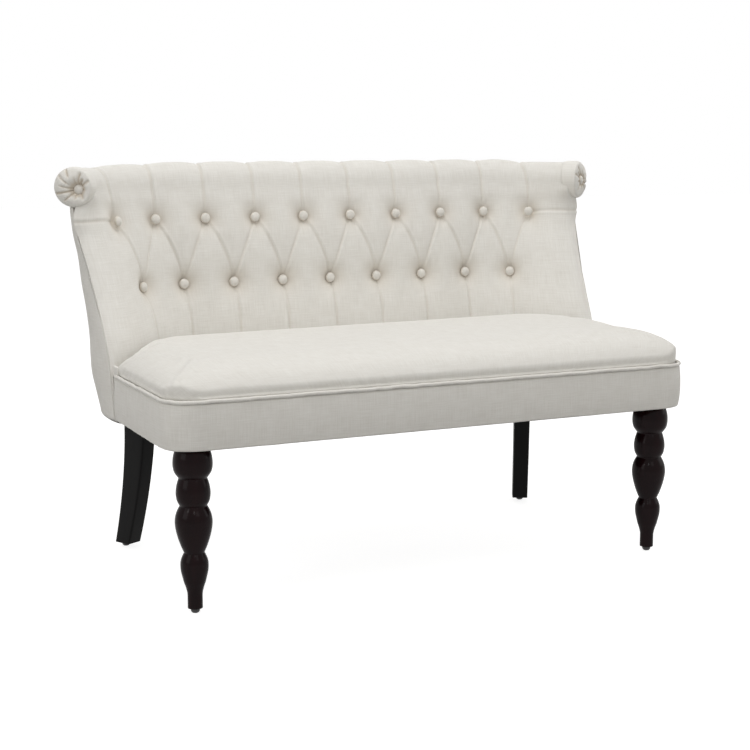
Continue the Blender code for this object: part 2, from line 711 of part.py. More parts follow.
def build_buttons(pad):
    profile = [
        (0, BUTTON_DOME), (0.52 * BUTTON_RADIUS, 0.86 * BUTTON_DOME),
        (0.88 * BUTTON_RADIUS, 0.42 * BUTTON_DOME), (BUTTON_RADIUS, 0),
        (0.84 * BUTTON_RADIUS, -0.53 * BUTTON_BACK), (0, -BUTTON_BACK),
    ]
    mesh = turned_mesh("covered_button", profile, 14)
    tree = tree_of(pad)
    for row, z, places in (("upper", UPPER_ROW_Z, UPPER_PLACES), ("lower", LOWER_ROW_Z, LOWER_PLACES)):
        plan = Plan(z)
        for number, along in enumerate(places, 1):
            outer = plan.point(along, 0.0)
            direction = (plan.point(along, -PADDING) - outer).normalized()
            matrix = facing_matrix(outer + direction * (PADDING + BUTTON_RADIUS), direction)
            button = add_object("tuft_button_%s_%02d" % (row, number), mesh, LINEN, smooth=60)
            button.matrix_world = seat_on(mesh, matrix, direction, tree)
    return mesh


# Gathered fabric disc, hollowed round its button and pleated towards its rim
def cap_mesh():
    bm = bmesh.new()
    bmesh.ops.create_uvsphere(bm, u_segments=2 * CAP_PLEATS, v_segments=8, radius=1)
    for vert in bm.verts:
        reach = math.hypot(vert.co.x, vert.co.y)
        height = vert.co.z * CAP_THICKNESS / 2
        if vert.co.z > 0:
            spoke = math.atan2(vert.co.y, vert.co.x)
            height -= 0.32 * CAP_THICKNESS * math.exp(-((reach / 0.35) ** 2))
            height -= 0.07 * CAP_THICKNESS * math.cos(CAP_PLEATS * spoke) * between(reach, 0.2, 0.6)
        height = max(height, -CAP_THICKNESS / 4)
        vert.co = (vert.co.x * CAP_RADIUS, vert.co.y * CAP_RADIUS, height)
    return mesh_from(bm, "roll_cap")


# Each end of the roll is closed by a disc with a button in its middle
def build_roll_ends(pad, button_mesh):
    disc = cap_mesh()
    for side, name in ENDS:
        heading = Vector((side * ROLL_PLAN.heading.x, ROLL_PLAN.heading.y, 0))
        centre = ROLL_PLAN.point(side * ROLL_PLAN.length, ROLL_SETBACK, ROLL_AXIS_Z)
        matrix = facing_matrix(centre + heading * 2 * CAP_THICKNESS, heading)
        cap = add_object("roll_end_cap_" + name, disc, LINEN, smooth=60)
        cap.matrix_world = seat_on(disc, matrix, heading, tree_of(pad))
        along, up = ROLL_BUTTON_SHIFT
        place = ROLL_PLAN.point(side * ROLL_PLAN.length, ROLL_SETBACK + along, ROLL_AXIS_Z + up)
        start = facing_matrix(place + heading * 3 * CAP_THICKNESS, heading)
        button = add_object("roll_end_button_" + name, button_mesh, LINEN, smooth=60)
        button.matrix_world = seat_on(button_mesh, start, heading, tree_of(cap))


# Board behind the pad: its near face follows the pad's own stations and heights
def back_board(name, stations, far, heights):
    near = BACKING + CONTACT_GAP
    rings = []
    for z in heights:
        plan = Plan(z)
        places = [along_at(plan, station) for station in stations]
        ring = [plan.point(along, near) for along in places]
        ring += [plan.point(along, far(plan)) for along in reversed(places)]
        rings.append(ring)
    return loft(name, rings, HARDWOOD, smooth=0)


def build_back_frame():
    heights = tuple(reversed(BACK_HEIGHTS))
    post_quarters = (QUARTERS - 5, QUARTERS - 4, QUARTERS - 3)

    def board_far(plan):
        return BACKING + BOARD_DEPTH

    def wing_far(plan):
        return plan.depth - BOARD_CLEARANCE

    for side, name in ENDS:
        corner = [("pad", side * QUARTER * count) for count in post_quarters]
        back_board("back_post_" + name, corner, board_far, heights)
        edge = [("wing", side * share) for share in WING_SHARES[:2]]
        back_board("wing_board_" + name, edge, wing_far, heights)
    reach = QUARTER * post_quarters[0] - CONTACT_GAP
    rail = [("pad", -reach)]
    rail += [("pad", QUARTER * count) for count in range(1 - post_quarters[0], post_quarters[0])]
    rail += [("pad", reach)]
    rail_z = BACK_HEIGHTS[0] - TOP_RAIL_HEIGHT
    back_board("back_top_rail", rail, board_far, (rail_z, BACK_HEIGHTS[0]))
    middle = [("pad", -QUARTER), ("pad", QUARTER)]
    back_board("back_centre_upright", middle, board_far, (PAD_FOOT_Z, rail_z - CONTACT_GAP))


SIDE_INNER = HALF_SEAT - BAND_WALL
FRONT_INNER = FRONT_Y + BAND_WALL
BLOCK_X = SIDE_INNER - FRONT_BLOCK_SIZE
BLOCK_Y = FRONT_INNER + FRONT_BLOCK_SIZE


def build_seat_rails():
    gap = CONTACT_GAP
    box("seat_rail_front", (-BLOCK_X + gap, FRONT_INNER, SEAT_BOTTOM_Z),
        (BLOCK_X - gap, FRONT_INNER + RAIL_THICKNESS, RAIL_TOP_Z), HARDWOOD)
    half = HALF_SEAT - REAR_RAIL_INSET
    box("seat_rail_rear", (-half, rear_rail_y(), SEAT_BOTTOM_Z - REAR_RAIL_DROP),
        (half, rear_rail_y() + RAIL_THICKNESS, RAIL_TOP_Z), HARDWOOD)
    for side, name in ENDS:
        xs = sorted((side * SIDE_INNER, side * (SIDE_INNER - RAIL_THICKNESS)))
        box("seat_rail_" + name, (xs[0], BLOCK_Y + gap, SEAT_BOTTOM_Z),
            (xs[1], SIDE_RAIL_REAR_Y, RAIL_TOP_Z), HARDWOOD)


# The rear rail stands just inside the outside cover
def rear_rail_y():
    cover = CoverPlan(SEAT_BOTTOM_Z - REAR_RAIL_DROP)
    return cover.rear - COVER_THICKNESS - RAIL_CLEARANCE - RAIL_THICKNESS


def build_corner_blocks():
    height = RAIL_TOP_Z - REAR_LEG_TOP_Z - CONTACT_GAP
    for side, name in ENDS:
        outline = [Vector((BLOCK_X, BLOCK_Y))] + seat_side(BAND_WALL, BLOCK_Y)
        outline.append(Vector((BLOCK_X, FRONT_INNER)))
        plate("corner_block_front_" + name, [(side * p.x, p.y) for p in outline],
              SEAT_BOTTOM_Z, RAIL_TOP_Z, HARDWOOD)
        bm = bmesh.new()
        bmesh.ops.create_cube(bm, size=1)
        bm.transform(Matrix.Diagonal((REAR_BLOCK_SIZE, REAR_BLOCK_SIZE, height, 1)))
        block = add_object("corner_block_rear_" + name, mesh_from(bm, "rear_block"), HARDWOOD, smooth=0)
        block.rotation_euler.z = -side * REAR_LEG_SPLAY
        block.location = (side * REAR_LEG_X, REAR_LEG_Y, RAIL_TOP_Z - height / 2)


def build_deck():
    low = DECK_TOP_Z - DECK_THICKNESS
    cover = CoverPlan(low)
    right = []
    for station in cover_stations():
        if station[1] >= 0 and abs(station[1]) < 1:
            right.append(cover.point(station, COVER_THICKNESS + 2 * CONTACT_GAP, 0).to_2d())
    right = [point for point in right if point.x < SIDE_INNER]
    right += seat_side(BAND_WALL, 0.0)
    outline = [(p.x, p.y) for p in right] + [(-p.x, p.y) for p in reversed(right[1:])]
    plate("seat_deck", outline, low, DECK_TOP_Z, DECK_BOARD)


# Cloth under the seat, cut round the front blocks and the rear legs
def build_dust_cover():
    side = SIDE_INNER - DUST_COVER_MARGIN
    waist = REAR_LEG_X - REAR_BLOCK_SIZE
    half = [
        (BLOCK_X, FRONT_INNER + CONTACT_GAP), (BLOCK_X, BLOCK_Y), (side, BLOCK_Y),
        (side, SIDE_RAIL_REAR_Y), (waist, SIDE_RAIL_REAR_Y + DUST_COVER_MARGIN),
        (waist, rear_rail_y() - CONTACT_GAP),
    ]
    outline = half + [(-x, y) for x, y in reversed(half)]
    top = SEAT_BOTTOM_Z - CONTACT_GAP
    plate("dust_cover", outline, top - DUST_COVER_THICKNESS, top, BLACK_CLOTH)


def leg_profile():
    stretch = (SEAT_BOTTOM_Z - CONTACT_GAP - GLIDE_HEIGHT) / LEG_PROFILE[0][1]
    outer = [(radius, GLIDE_HEIGHT + height * stretch) for radius, height in LEG_PROFILE]
    return [(0, outer[0][1])] + outer + [(0, GLIDE_HEIGHT)]


# Nail-on glide: a domed foot with a flat rest, and its nail
def glide_profile():
    top = GLIDE_HEIGHT - CONTACT_GAP
    return [
        (0, top + NAIL_LENGTH), (NAIL_RADIUS, top + NAIL_LENGTH), (NAIL_RADIUS, top),
        (GLIDE_RADIUS, top), (GLIDE_RADIUS, 0.55 * GLIDE_HEIGHT),
        (0.5 * (GLIDE_RADIUS + GLIDE_FLAT_RADIUS), 0.17 * GLIDE_HEIGHT), (GLIDE_FLAT_RADIUS, 0), (0, 0),
    ]


def build_legs():
    turned = turned_mesh("front_leg", leg_profile(), LEG_SIDES)
    glide = turned_mesh("nail_glide", glide_profile(), 14)
    bolt_mesh = cylinder_mesh("leg_bolt", BOLT_RADIUS, 2 * BOLT_REACH)
    nail_top = GLIDE_HEIGHT + NAIL_LENGTH
    reach = BOLT_REACH + CONTACT_GAP
    for side, name in ENDS:
        front = add_object("front_leg_" + name, turned.copy(), DARK_WOOD)
        front.location = (side * FRONT_LEG_X, FRONT_LEG_Y, 0)
        front_place = (side * FRONT_LEG_X, FRONT_LEG_Y)
        rear = build_rear_leg(side, name)
        rear_toe = rear_leg_centre(side, GLIDE_HEIGHT).to_2d()
        rear_head = (side * REAR_LEG_X, REAR_LEG_Y)
        for end, leg, head, toe, top in (
            ("front", front, front_place, front_place, SEAT_BOTTOM_Z),
            ("rear", rear, rear_head, rear_toe, REAR_LEG_TOP_Z),
        ):
            foot = add_object("glide_%s_%s" % (end, name), glide, BLACK_PLASTIC)
            foot.location = (toe[0], toe[1], 0)
            drill(leg, toe, NAIL_RADIUS + CONTACT_GAP, -0.01, nail_top)
            bolt = add_object("leg_bolt_%s_%s" % (end, name), bolt_mesh, STEEL)
            bolt.location = (head[0], head[1], top)
            block = bpy.data.objects["corner_block_%s_%s" % (end, name)]
            drill(leg, head, BOLT_RADIUS + CONTACT_GAP, top - reach, top + 0.01)
            drill(block, head, BOLT_RADIUS + CONTACT_GAP, top - 0.01, top + reach)


# The sabre leg sweeps back and outward, faster towards the foot
def rear_leg_centre(side, z):
    down = (REAR_LEG_TOP_Z - z) / (REAR_LEG_TOP_Z - GLIDE_HEIGHT)
    sweep = REAR_LEG_SWEEP * down ** 1.8
    x = side * (REAR_LEG_X + sweep * math.sin(REAR_LEG_SPLAY))
    return Vector((x, REAR_LEG_Y + sweep * math.cos(REAR_LEG_SPLAY), z))


def build_rear_leg(side, name):
    rings = []
    steps = 9
    chamfer = REAR_LEG_CHAMFER
    turn = Matrix.Rotation(-side * REAR_LEG_SPLAY, 2)
    for step in range(steps + 1):
        z = REAR_LEG_TOP_Z - (REAR_LEG_TOP_Z - GLIDE_HEIGHT) * step / steps
        share = step / steps
        wide = REAR_LEG_TOP[0] + share * (REAR_LEG_FOOT[0] - REAR_LEG_TOP[0])
        deep = REAR_LEG_TOP[1] + share * (REAR_LEG_FOOT[1] - REAR_LEG_TOP[1])
        centre = rear_leg_centre(side, z)
        ring = []
        for sx, sy, first in ((1, 1, 0), (1, -1, 1), (-1, -1, 0), (-1, 1, 1)):
            cut_x = Vector((sx * (wide / 2 - chamfer), sy * deep / 2))
            cut_y = Vector((sx * wide / 2, sy * (deep / 2 - chamfer)))
            pair = (cut_y, cut_x) if first else (cut_x, cut_y)
            for corner in pair:
                place = turn @ corner
                ring.append(Vector((centre.x + place.x, centre.y + place.y, z)))
        rings.append(ring)
    return loft("rear_leg_" + name, rings, BLACK_WOOD, smooth=30)


pad = loft("inside_back", [pad_ring(station) for station in station_places()], LINEN, smooth=60)
loft("outside_cover", [cover_ring(station) for station in cover_stations()], LINEN, smooth=50)
build_cushion()
build_band()
build_seat_welt()
build_wing_trim()
build_roll_ends(pad, build_buttons(pad))
build_back_frame()
build_seat_rails()
build_corner_blocks()
build_deck()
build_dust_cover()
build_legs()
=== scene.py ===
# %% [markdown]
# # An armless loveseat with a curved, button-tufted back
#
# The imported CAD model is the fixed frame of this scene. It holds every piece at its true
# size and place, in metres, with +Z up and the seat facing -Y. The lesson dresses it: each
# soft piece gets its real cloth form, each turned or carved piece its smooth surface, and
# each finish its weave, grain or gloss.

# %% Load the frame
import math

import bmesh
import bpy
import numpy as np
from mathutils import Matrix, Vector, noise


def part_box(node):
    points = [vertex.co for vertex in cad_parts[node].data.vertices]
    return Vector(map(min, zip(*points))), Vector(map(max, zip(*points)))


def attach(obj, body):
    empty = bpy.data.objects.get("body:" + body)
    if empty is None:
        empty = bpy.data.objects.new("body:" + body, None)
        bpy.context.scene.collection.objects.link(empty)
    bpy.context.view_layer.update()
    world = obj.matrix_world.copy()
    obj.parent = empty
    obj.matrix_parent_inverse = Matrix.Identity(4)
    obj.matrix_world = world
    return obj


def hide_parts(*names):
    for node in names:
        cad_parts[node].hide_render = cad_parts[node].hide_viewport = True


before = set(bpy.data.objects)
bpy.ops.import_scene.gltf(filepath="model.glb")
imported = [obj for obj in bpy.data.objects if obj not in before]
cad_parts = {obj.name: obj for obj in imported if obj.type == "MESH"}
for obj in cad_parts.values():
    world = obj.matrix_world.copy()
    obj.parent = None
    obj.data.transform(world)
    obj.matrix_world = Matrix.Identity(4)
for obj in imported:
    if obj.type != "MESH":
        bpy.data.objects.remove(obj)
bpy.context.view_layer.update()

# %% [markdown]
# ## The camera
#
# The photograph is taken from the front left, a little above the seat, with a longish lens.
# A camera is easiest to place by its own position and by two turns: how far it is turned
# from straight ahead, and how far it looks down. These values come from matching the
# glides, the buttons and the outline of the back.

# %% Camera at the photograph's angle
CAMERA_PLACE = (-1.293, -2.761, 0.839)
CAMERA_YAW = 25.14
CAMERA_PITCH = 9.08
CAMERA_LENS = 73.0

camera_data = bpy.data.cameras.new("camera")
camera_data.lens = CAMERA_LENS
camera_data.sensor_width = 36
camera = bpy.data.objects.new("camera", camera_data)
camera.location = CAMERA_PLACE
camera.rotation_euler = (math.radians(90 - CAMERA_PITCH), 0, math.radians(-CAMERA_YAW))
bpy.context.scene.collection.objects.link(camera)
bpy.context.scene.camera = camera
bpy.context.scene.view_settings.view_transform = "Standard"
print("camera", CAMERA_LENS, "mm lens")

# %% [markdown]
# ## The floor and the light
#
# The photograph is a studio cut-out: white all round, with soft light from above and in
# front, so that the tops of the cushion and the roll are the brightest and the band under
# the cushion is greyer. A wide lamp overhead gives that. Fainter wide lamps in front, on
# each side and behind lift the upright cloth, and a slightly warm world fills the shadows.
# Two small lamps, high on the left and on the right, put the paired spots of light on the
# turned legs: small lamps give crisp spots and add little light to the cloth. The floor
# and the world are only white to the camera and to clear or glossy reflections, so the
# white background puts no extra light on the cloth.

# %% Floor, world and lamps
FLOOR_REACH = 14
FLOOR_DROP = 0.0005
FLOOR_GREY = 0.45
FLOOR_GLOW = 0.86
WORLD_FILL = 0.50
WORLD_WARMTH = (1, 0.985, 0.955, 1)
WHITE = (1, 1, 1, 1)


def new_material(name):
    material = bpy.data.materials.new(name)
    material.use_nodes = True
    nodes = material.node_tree.nodes
    return material, nodes, material.node_tree.links, nodes["Principled BSDF"]


# Each value of a math node is a number or another node's socket
def math_node(tree, operation, first, second=None, third=None):
    node = tree.nodes.new("ShaderNodeMath")
    node.operation = operation
    for socket, value in zip(node.inputs, (first, second, third)):
        if value is None:
            continue
        if isinstance(value, (int, float)):
            socket.default_value = value
        else:
            tree.links.new(value, socket)
    return node.outputs[0]


# 1 for rays from the camera and for glossy and clear ones, 0 for light on its way to cloth
def seen_rays(tree):
    path = tree.nodes.new("ShaderNodeLightPath")
    seen = math_node(tree, "MAXIMUM", path.outputs["Is Camera Ray"], path.outputs["Is Glossy Ray"])
    return math_node(tree, "MAXIMUM", seen, path.outputs["Is Transmission Ray"])


def mesh_from(bm, name):
    mesh = bpy.data.meshes.new(name)
    bm.to_mesh(mesh)
    bm.free()
    return mesh


def build_floor():
    bm = bmesh.new()
    bmesh.ops.create_grid(bm, x_segments=1, y_segments=1, size=FLOOR_REACH)
    mesh = mesh_from(bm, "floor")
    floor = bpy.data.objects.new("floor", mesh)
    floor.location.z = -FLOOR_DROP
    bpy.context.scene.collection.objects.link(floor)
    material, nodes, links, shader = new_material("pale floor")
    shader.inputs["Base Color"].default_value = (FLOOR_GREY, FLOOR_GREY, FLOOR_GREY, 1)
    shader.inputs["Roughness"].default_value = 1.0
    shader.inputs["Specular IOR Level"].default_value = 0.0
    shader.inputs["Emission Color"].default_value = WHITE
    glow = math_node(material.node_tree, "MULTIPLY", seen_rays(material.node_tree), FLOOR_GLOW)
    links.new(glow, shader.inputs["Emission Strength"])
    mesh.materials.append(material)


def build_world():
    world = bpy.data.worlds.new("studio")
    world.use_nodes = True
    tree = world.node_tree
    background = tree.nodes["Background"]
    seen = seen_rays(tree)
    level = tree.nodes.new("ShaderNodeMapRange")
    level.inputs["To Min"].default_value = WORLD_FILL
    level.inputs["To Max"].default_value = 1.0
    tree.links.new(seen, level.inputs["Value"])
    tree.links.new(level.outputs["Result"], background.inputs["Strength"])
    warmth = tree.nodes.new("ShaderNodeMix")
    warmth.data_type = "RGBA"
    warmth.inputs["A"].default_value = WORLD_WARMTH
    warmth.inputs["B"].default_value = WHITE
    tree.links.new(seen, warmth.inputs["Factor"])
    tree.links.new(warmth.outputs["Result"], background.inputs["Color"])
    bpy.context.scene.world = world


def soft_lamp(name, place, target, size, power, colour=(1, 1, 1)):
    data = bpy.data.lights.new(name, "AREA")
    data.shape = "RECTANGLE"
    data.size, data.size_y = size
    data.energy = power
    data.color = colour
    lamp = bpy.data.objects.new(name, data)
    lamp.location = place
    lamp.rotation_euler = (Vector(target) - Vector(place)).to_track_quat("-Z", "Y").to_euler()
    bpy.context.scene.collection.objects.link(lamp)


build_floor()
build_world()
MIDDLE = (0, 0, 0.4)
FRONT_LEG_SPOT = (-0.45, -0.3, 0.2)
soft_lamp("overhead", (0, -0.5, 2.9), MIDDLE, (2.4, 1.8), 33, (0.985, 0.99, 1))
soft_lamp("left", (-2.8, -0.8, 1.2), MIDDLE, (1.4, 1.4), 9)
soft_lamp("right", (2.8, -0.8, 1.2), MIDDLE, (1.4, 1.4), 8)
soft_lamp("rear", (0.4, 2.8, 1.9), MIDDLE, (2.0, 1.2), 12)
soft_lamp("front", (0.2, -3.4, 2.2), (0, 0.1, 0.5), (1.2, 1.0), 5)
soft_lamp("left spot", (-2.24, -1.13, 1.74), FRONT_LEG_SPOT, (0.19, 0.19), 2)
soft_lamp("right spot", (-0.89, -2.22, 1.74), FRONT_LEG_SPOT, (0.13, 0.26), 2)
print("lamps", [light.name for light in bpy.data.lights])

# %% [markdown]
# ## Sizes that the pieces share
#
# The dressed pieces take the places of CAD solids, so they repeat the frame's own sizes:
# the plan of the back, the line of the wings and the heights of the seat. The back stands
# on a plan that is straight in the middle, turns through an arc on each side and ends in a
# straight wing. Working with whole arrays of points keeps this quick on fine cloth.

# %% Sizes of the loveseat
CONTACT_GAP = 0.0003
HALF_SEAT = 0.540
FRONT_Y = -0.3365
REAR_Y = 0.3365
HEIGHT = 0.781
SEAT_BOTTOM_Z = 0.300
DECK_TOP_Z = 0.3815
SEAT_CORNER_RADIUS = 0.060
BACK_FOOT_Y = REAR_Y - 0.1375
BEND_RADIUS = 0.180
BEND_ANGLE = math.radians(57)
WING_HEADING = np.array([math.cos(BEND_ANGLE), -math.sin(BEND_ANGLE)])
WING_OUTWARD = np.array([math.sin(BEND_ANGLE), math.cos(BEND_ANGLE)])
PADDING = 0.026
WING_PADDING = 0.012
BACKING = 0.010
ROLL_RADIUS = 0.045
ROLL_NECK = 0.046
ROLL_SETBACK = 0.04258
ROLL_AXIS_Z = HEIGHT - ROLL_RADIUS
ROLL_FOOT_Z = ROLL_AXIS_Z - ROLL_NECK
BACK_TOP_Y = REAR_Y - ROLL_RADIUS - ROLL_SETBACK
WING_HEIGHT_SHARES = (0.0, 0.333, 0.615, 0.769, 0.885, 1.0)
WING_OUTSETS = (0.000, 0.0044, 0.0120, 0.0192, 0.0272, 0.0328)
WING_SETBACKS = (0.3325, 0.3055, 0.2455, 0.2140, 0.1912, 0.1765)
ROLL_END_OUTSET = 0.023
ROLL_END_SETBACK = 0.178
WING_DEPTH_LOW = 0.022
WING_DEPTH_HIGH = 0.042
COVER_HEIGHT_SHARES = (0.0, 0.114, 0.306, 0.522, 0.726, 0.931, 1.0)
COVER_REAR_SETBACKS = (0.0785, 0.0745, 0.0685, 0.0585, 0.0475, 0.0365, 0.0333)
COVER_REAR_Z = 0.250
COVER_FRONT_Z = 0.298
COVER_TOP_Z = ROLL_FOOT_Z + 2 * CONTACT_GAP
UPPER_ROW_Z = 0.664
LOWER_ROW_Z = 0.532
BUTTON_PITCH = 0.109
LAST_BUTTON = 0.4905
UPPER_PLACES = np.array([count * BUTTON_PITCH - LAST_BUTTON for count in range(10)])
LOWER_PLACES = UPPER_PLACES[:-1] + BUTTON_PITCH / 2
ENDS = ((1, "right"), (-1, "left"))


# How far a value has come from low to high, held between 0 and 1
def share_of(value, low, high):
    return np.clip((value - low) / (high - low), 0.0, 1.0)


# The same share with a soft start and a soft end
def eased(share):
    return share * share * (3 - 2 * share)


# Smooth curve through a list of values, each at its own knot
def read_smooth(knots, values, place):
    knots, values = np.array(knots, float), np.array(values, float)
    slopes = np.gradient(values, knots)
    place = np.clip(place, knots[0], knots[-1])
    step = np.clip(np.searchsorted(knots, place, side="right") - 1, 0, len(knots) - 2)
    span = knots[step + 1] - knots[step]
    t = (place - knots[step]) / span
    start = (2 * t ** 3 - 3 * t ** 2 + 1) * values[step] + (t ** 3 - 2 * t ** 2 + t) * span * slopes[step]
    end = (3 * t ** 2 - 2 * t ** 3) * values[step + 1] + (t ** 3 - t ** 2) * span * slopes[step + 1]
    return start + end


# Where the wing's front edge stands at a height
def wing_edge(z):
    share = share_of(z, SEAT_BOTTOM_Z, ROLL_FOOT_Z)
    outset = read_smooth(WING_HEIGHT_SHARES, WING_OUTSETS, share)
    setback = read_smooth(WING_HEIGHT_SHARES, WING_SETBACKS, share)
    return HALF_SEAT + outset, REAR_Y - setback


# Plan of the tufting plane at every given height
class Plan:
    def __init__(self, z, edge=None):
        self.edge_x, self.edge_y = edge or wing_edge(z)
        rise = share_of(z, SEAT_BOTTOM_Z, ROLL_FOOT_Z)
        self.rear = BACK_FOOT_Y + rise * (BACK_TOP_Y - BACK_FOOT_Y)
        self.depth = WING_DEPTH_LOW + rise * (WING_DEPTH_HIGH - WING_DEPTH_LOW)
        sine, cosine = math.sin(BEND_ANGLE), math.cos(BEND_ANGLE)
        drop = BEND_RADIUS * (1 - cosine)
        reach = (self.depth - (self.edge_y - self.rear + drop) * cosine) / sine
        self.bend_x = self.edge_x - BEND_RADIUS * sine - reach
        self.bend_end = self.bend_x + BEND_RADIUS * BEND_ANGLE
        self.corner_x = self.bend_x + BEND_RADIUS * sine
        self.corner_y = self.rear - drop
        run_x, run_y = self.edge_x - self.corner_x, self.edge_y - self.corner_y
        self.length = self.bend_end + run_x * cosine - run_y * sine

    # Points at distances along the plan, moved outward by an offset
    def point(self, along, offset):
        sine, cosine = math.sin(BEND_ANGLE), math.cos(BEND_ANGLE)
        run = np.abs(along)
        turn = np.clip((run - self.bend_x) / BEND_RADIUS, 0, BEND_ANGLE)
        straight = np.minimum(run, self.bend_x)
        past = np.maximum(run - self.bend_end, 0)
        x = straight + (BEND_RADIUS + offset) * np.sin(turn) + past * cosine
        y = self.rear - BEND_RADIUS + (BEND_RADIUS + offset) * np.cos(turn) - past * sine
        return np.copysign(1, along) * x, y


# The roll has a plan of its own, which ends inside the wings' edges
ROLL_PLAN = Plan(
    np.array([ROLL_FOOT_Z]), (np.array([HALF_SEAT + ROLL_END_OUTSET]), np.array([REAR_Y - ROLL_END_SETBACK])),
)
probe = Plan(np.array([DECK_TOP_Z, ROLL_FOOT_Z]))
print("plan length at the seat and at the roll", np.round(probe.length, 4))

# %% [markdown]
# ## Helpers for cloth
#
# Most pieces here are cloth over padding. The simplest start for such a piece is a flat
# grid: every point has a place across and a place up the cut cloth, and a function sends
# it to where the cloth lies on the loveseat. The cut cloth's own metres become the UV map,
# so the weave follows the cloth round every bend. Sculpting would be freer, but a function
# keeps each seam exactly where its neighbour's seam is.

# %% Cloth grids and finished pieces
WELD = 0.00002


def points_of(mesh, kind="co"):
    values = np.zeros(len(mesh.vertices) * 3)
    mesh.vertices.foreach_get(kind, values)
    return values.reshape(-1, 3)


def set_points(mesh, places):
    mesh.vertices.foreach_set("co", np.asarray(places, float).ravel())
    mesh.update()


def corner_points(mesh):
    corners = np.zeros(len(mesh.loops), int)
    mesh.loops.foreach_get("vertex_index", corners)
    return corners


def map_cloth(mesh, cloth):
    layer = mesh.uv_layers.get("cloth") or mesh.uv_layers.new(name="cloth")
    layer.data.foreach_set("uv", cloth[corner_points(mesh)].ravel())


def cloth_grid(name, columns, rows, lay):
    bm = bmesh.new()
    bmesh.ops.create_grid(bm, x_segments=columns, y_segments=rows, size=0.5)
    mesh = mesh_from(bm, name)
    flat = points_of(mesh) + 0.5
    places, cloth = lay(flat[:, 0], flat[:, 1])
    set_points(mesh, np.column_stack(places))
    map_cloth(mesh, np.column_stack(cloth))
    return mesh


# How deep each point lies in a fold, from 0 to 1, which the linen material turns into painted shade
def mark_fold_shade(mesh, depths):
    layer = mesh.attributes.new("fold", "FLOAT", "POINT")
    layer.data.foreach_set("value", np.clip(depths, 0, 1))


# Welds a rolled-up grid along its seam, closes its open ends and turns its faces outward
def close_up(mesh, caps=True):
    bm = bmesh.new()
    bm.from_mesh(mesh)
    bmesh.ops.remove_doubles(bm, verts=bm.verts, dist=WELD)
    if caps:
        rims = [edge for edge in bm.edges if edge.is_boundary]
        bmesh.ops.holes_fill(bm, edges=rims, sides=0)
    bmesh.ops.recalc_face_normals(bm, faces=bm.faces)
    bm.to_mesh(mesh)
    bm.free()
    return mesh


# A dressed piece is named after its node and its own finish
FINISH_WORDS = {
    "linen": "linen", "dark_wood": "mahogany", "black_wood": "painted", "dust_cloth": "cloth",
    "glide_plastic": "moulded",
}


def add_piece(name, mesh, material, slot, *nodes):
    piece = bpy.data.objects.new(name + "_" + FINISH_WORDS[slot], mesh)
    bpy.context.scene.collection.objects.link(piece)
    mesh.materials.clear()
    mesh.materials.append(material)
    mesh.shade_smooth()
    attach(piece, "root")
    if nodes:
        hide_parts(*nodes)
    return piece


def thicken(piece, thickness):
    wall = piece.modifiers.new("Cloth thickness", "SOLIDIFY")
    wall.thickness = thickness
    wall.offset = -1


def subdivided(piece, levels):
    finer = piece.modifiers.new("Finer cloth", "SUBSURF")
    finer.levels = levels
    finer.render_levels = levels
    return finer


# Mesh of a piece with its modifiers applied
def applied(piece):
    bpy.context.view_layer.update()
    graph = bpy.context.evaluated_depsgraph_get()
    mesh = bpy.data.meshes.new_from_object(piece.evaluated_get(graph))
    old = piece.data
    piece.modifiers.clear()
    piece.data = mesh
    bpy.data.meshes.remove(old)
    return mesh


# Ripple that never repeats, the same on each run, at a given size of wave
def ripple(places, wave, seed=0.0):
    return np.array([noise.noise(Vector(place) / wave + Vector((seed, seed, seed))) for place in places])


print("finishes", sorted(FINISH_WORDS.values()))

# %% [markdown]
# ## The linen
#
# The cover is a slubby plain weave in cream. Two things show in the photograph: fine
# threads, and slubs, which are thick stretches of thread a few millimetres wide and some
# centimetres long, running both up and across. Stretched noise gives the slubs and crossed
# sine waves give the threads. They are one node group, because every cloth piece, the
# welts and the dust cloth use it with their own values.

# %% Weave node group
def group_of(name, inputs, outputs):
    group = bpy.data.node_groups.new(name, "ShaderNodeTree")
    for label, kind, value in inputs:
        socket = group.interface.new_socket(name=label, in_out="INPUT", socket_type=kind)
        if value is not None:
            socket.default_value = value
    for label, kind in outputs:
        group.interface.new_socket(name=label, in_out="OUTPUT", socket_type=kind)
    start = group.nodes.new("NodeGroupInput")
    end = group.nodes.new("NodeGroupOutput")
    return group, start, end


def stretched_noise(tree, vector, scale, detail=2.0):
    mapping = tree.nodes.new("ShaderNodeMapping")
    mapping.inputs["Scale"].default_value = scale
    tree.links.new(vector, mapping.inputs["Vector"])
    texture = tree.nodes.new("ShaderNodeTexNoise")
    texture.inputs["Scale"].default_value = 1.0
    texture.inputs["Detail"].default_value = detail
    tree.links.new(mapping.outputs[0], texture.inputs["Vector"])
    return texture.outputs["Fac"]


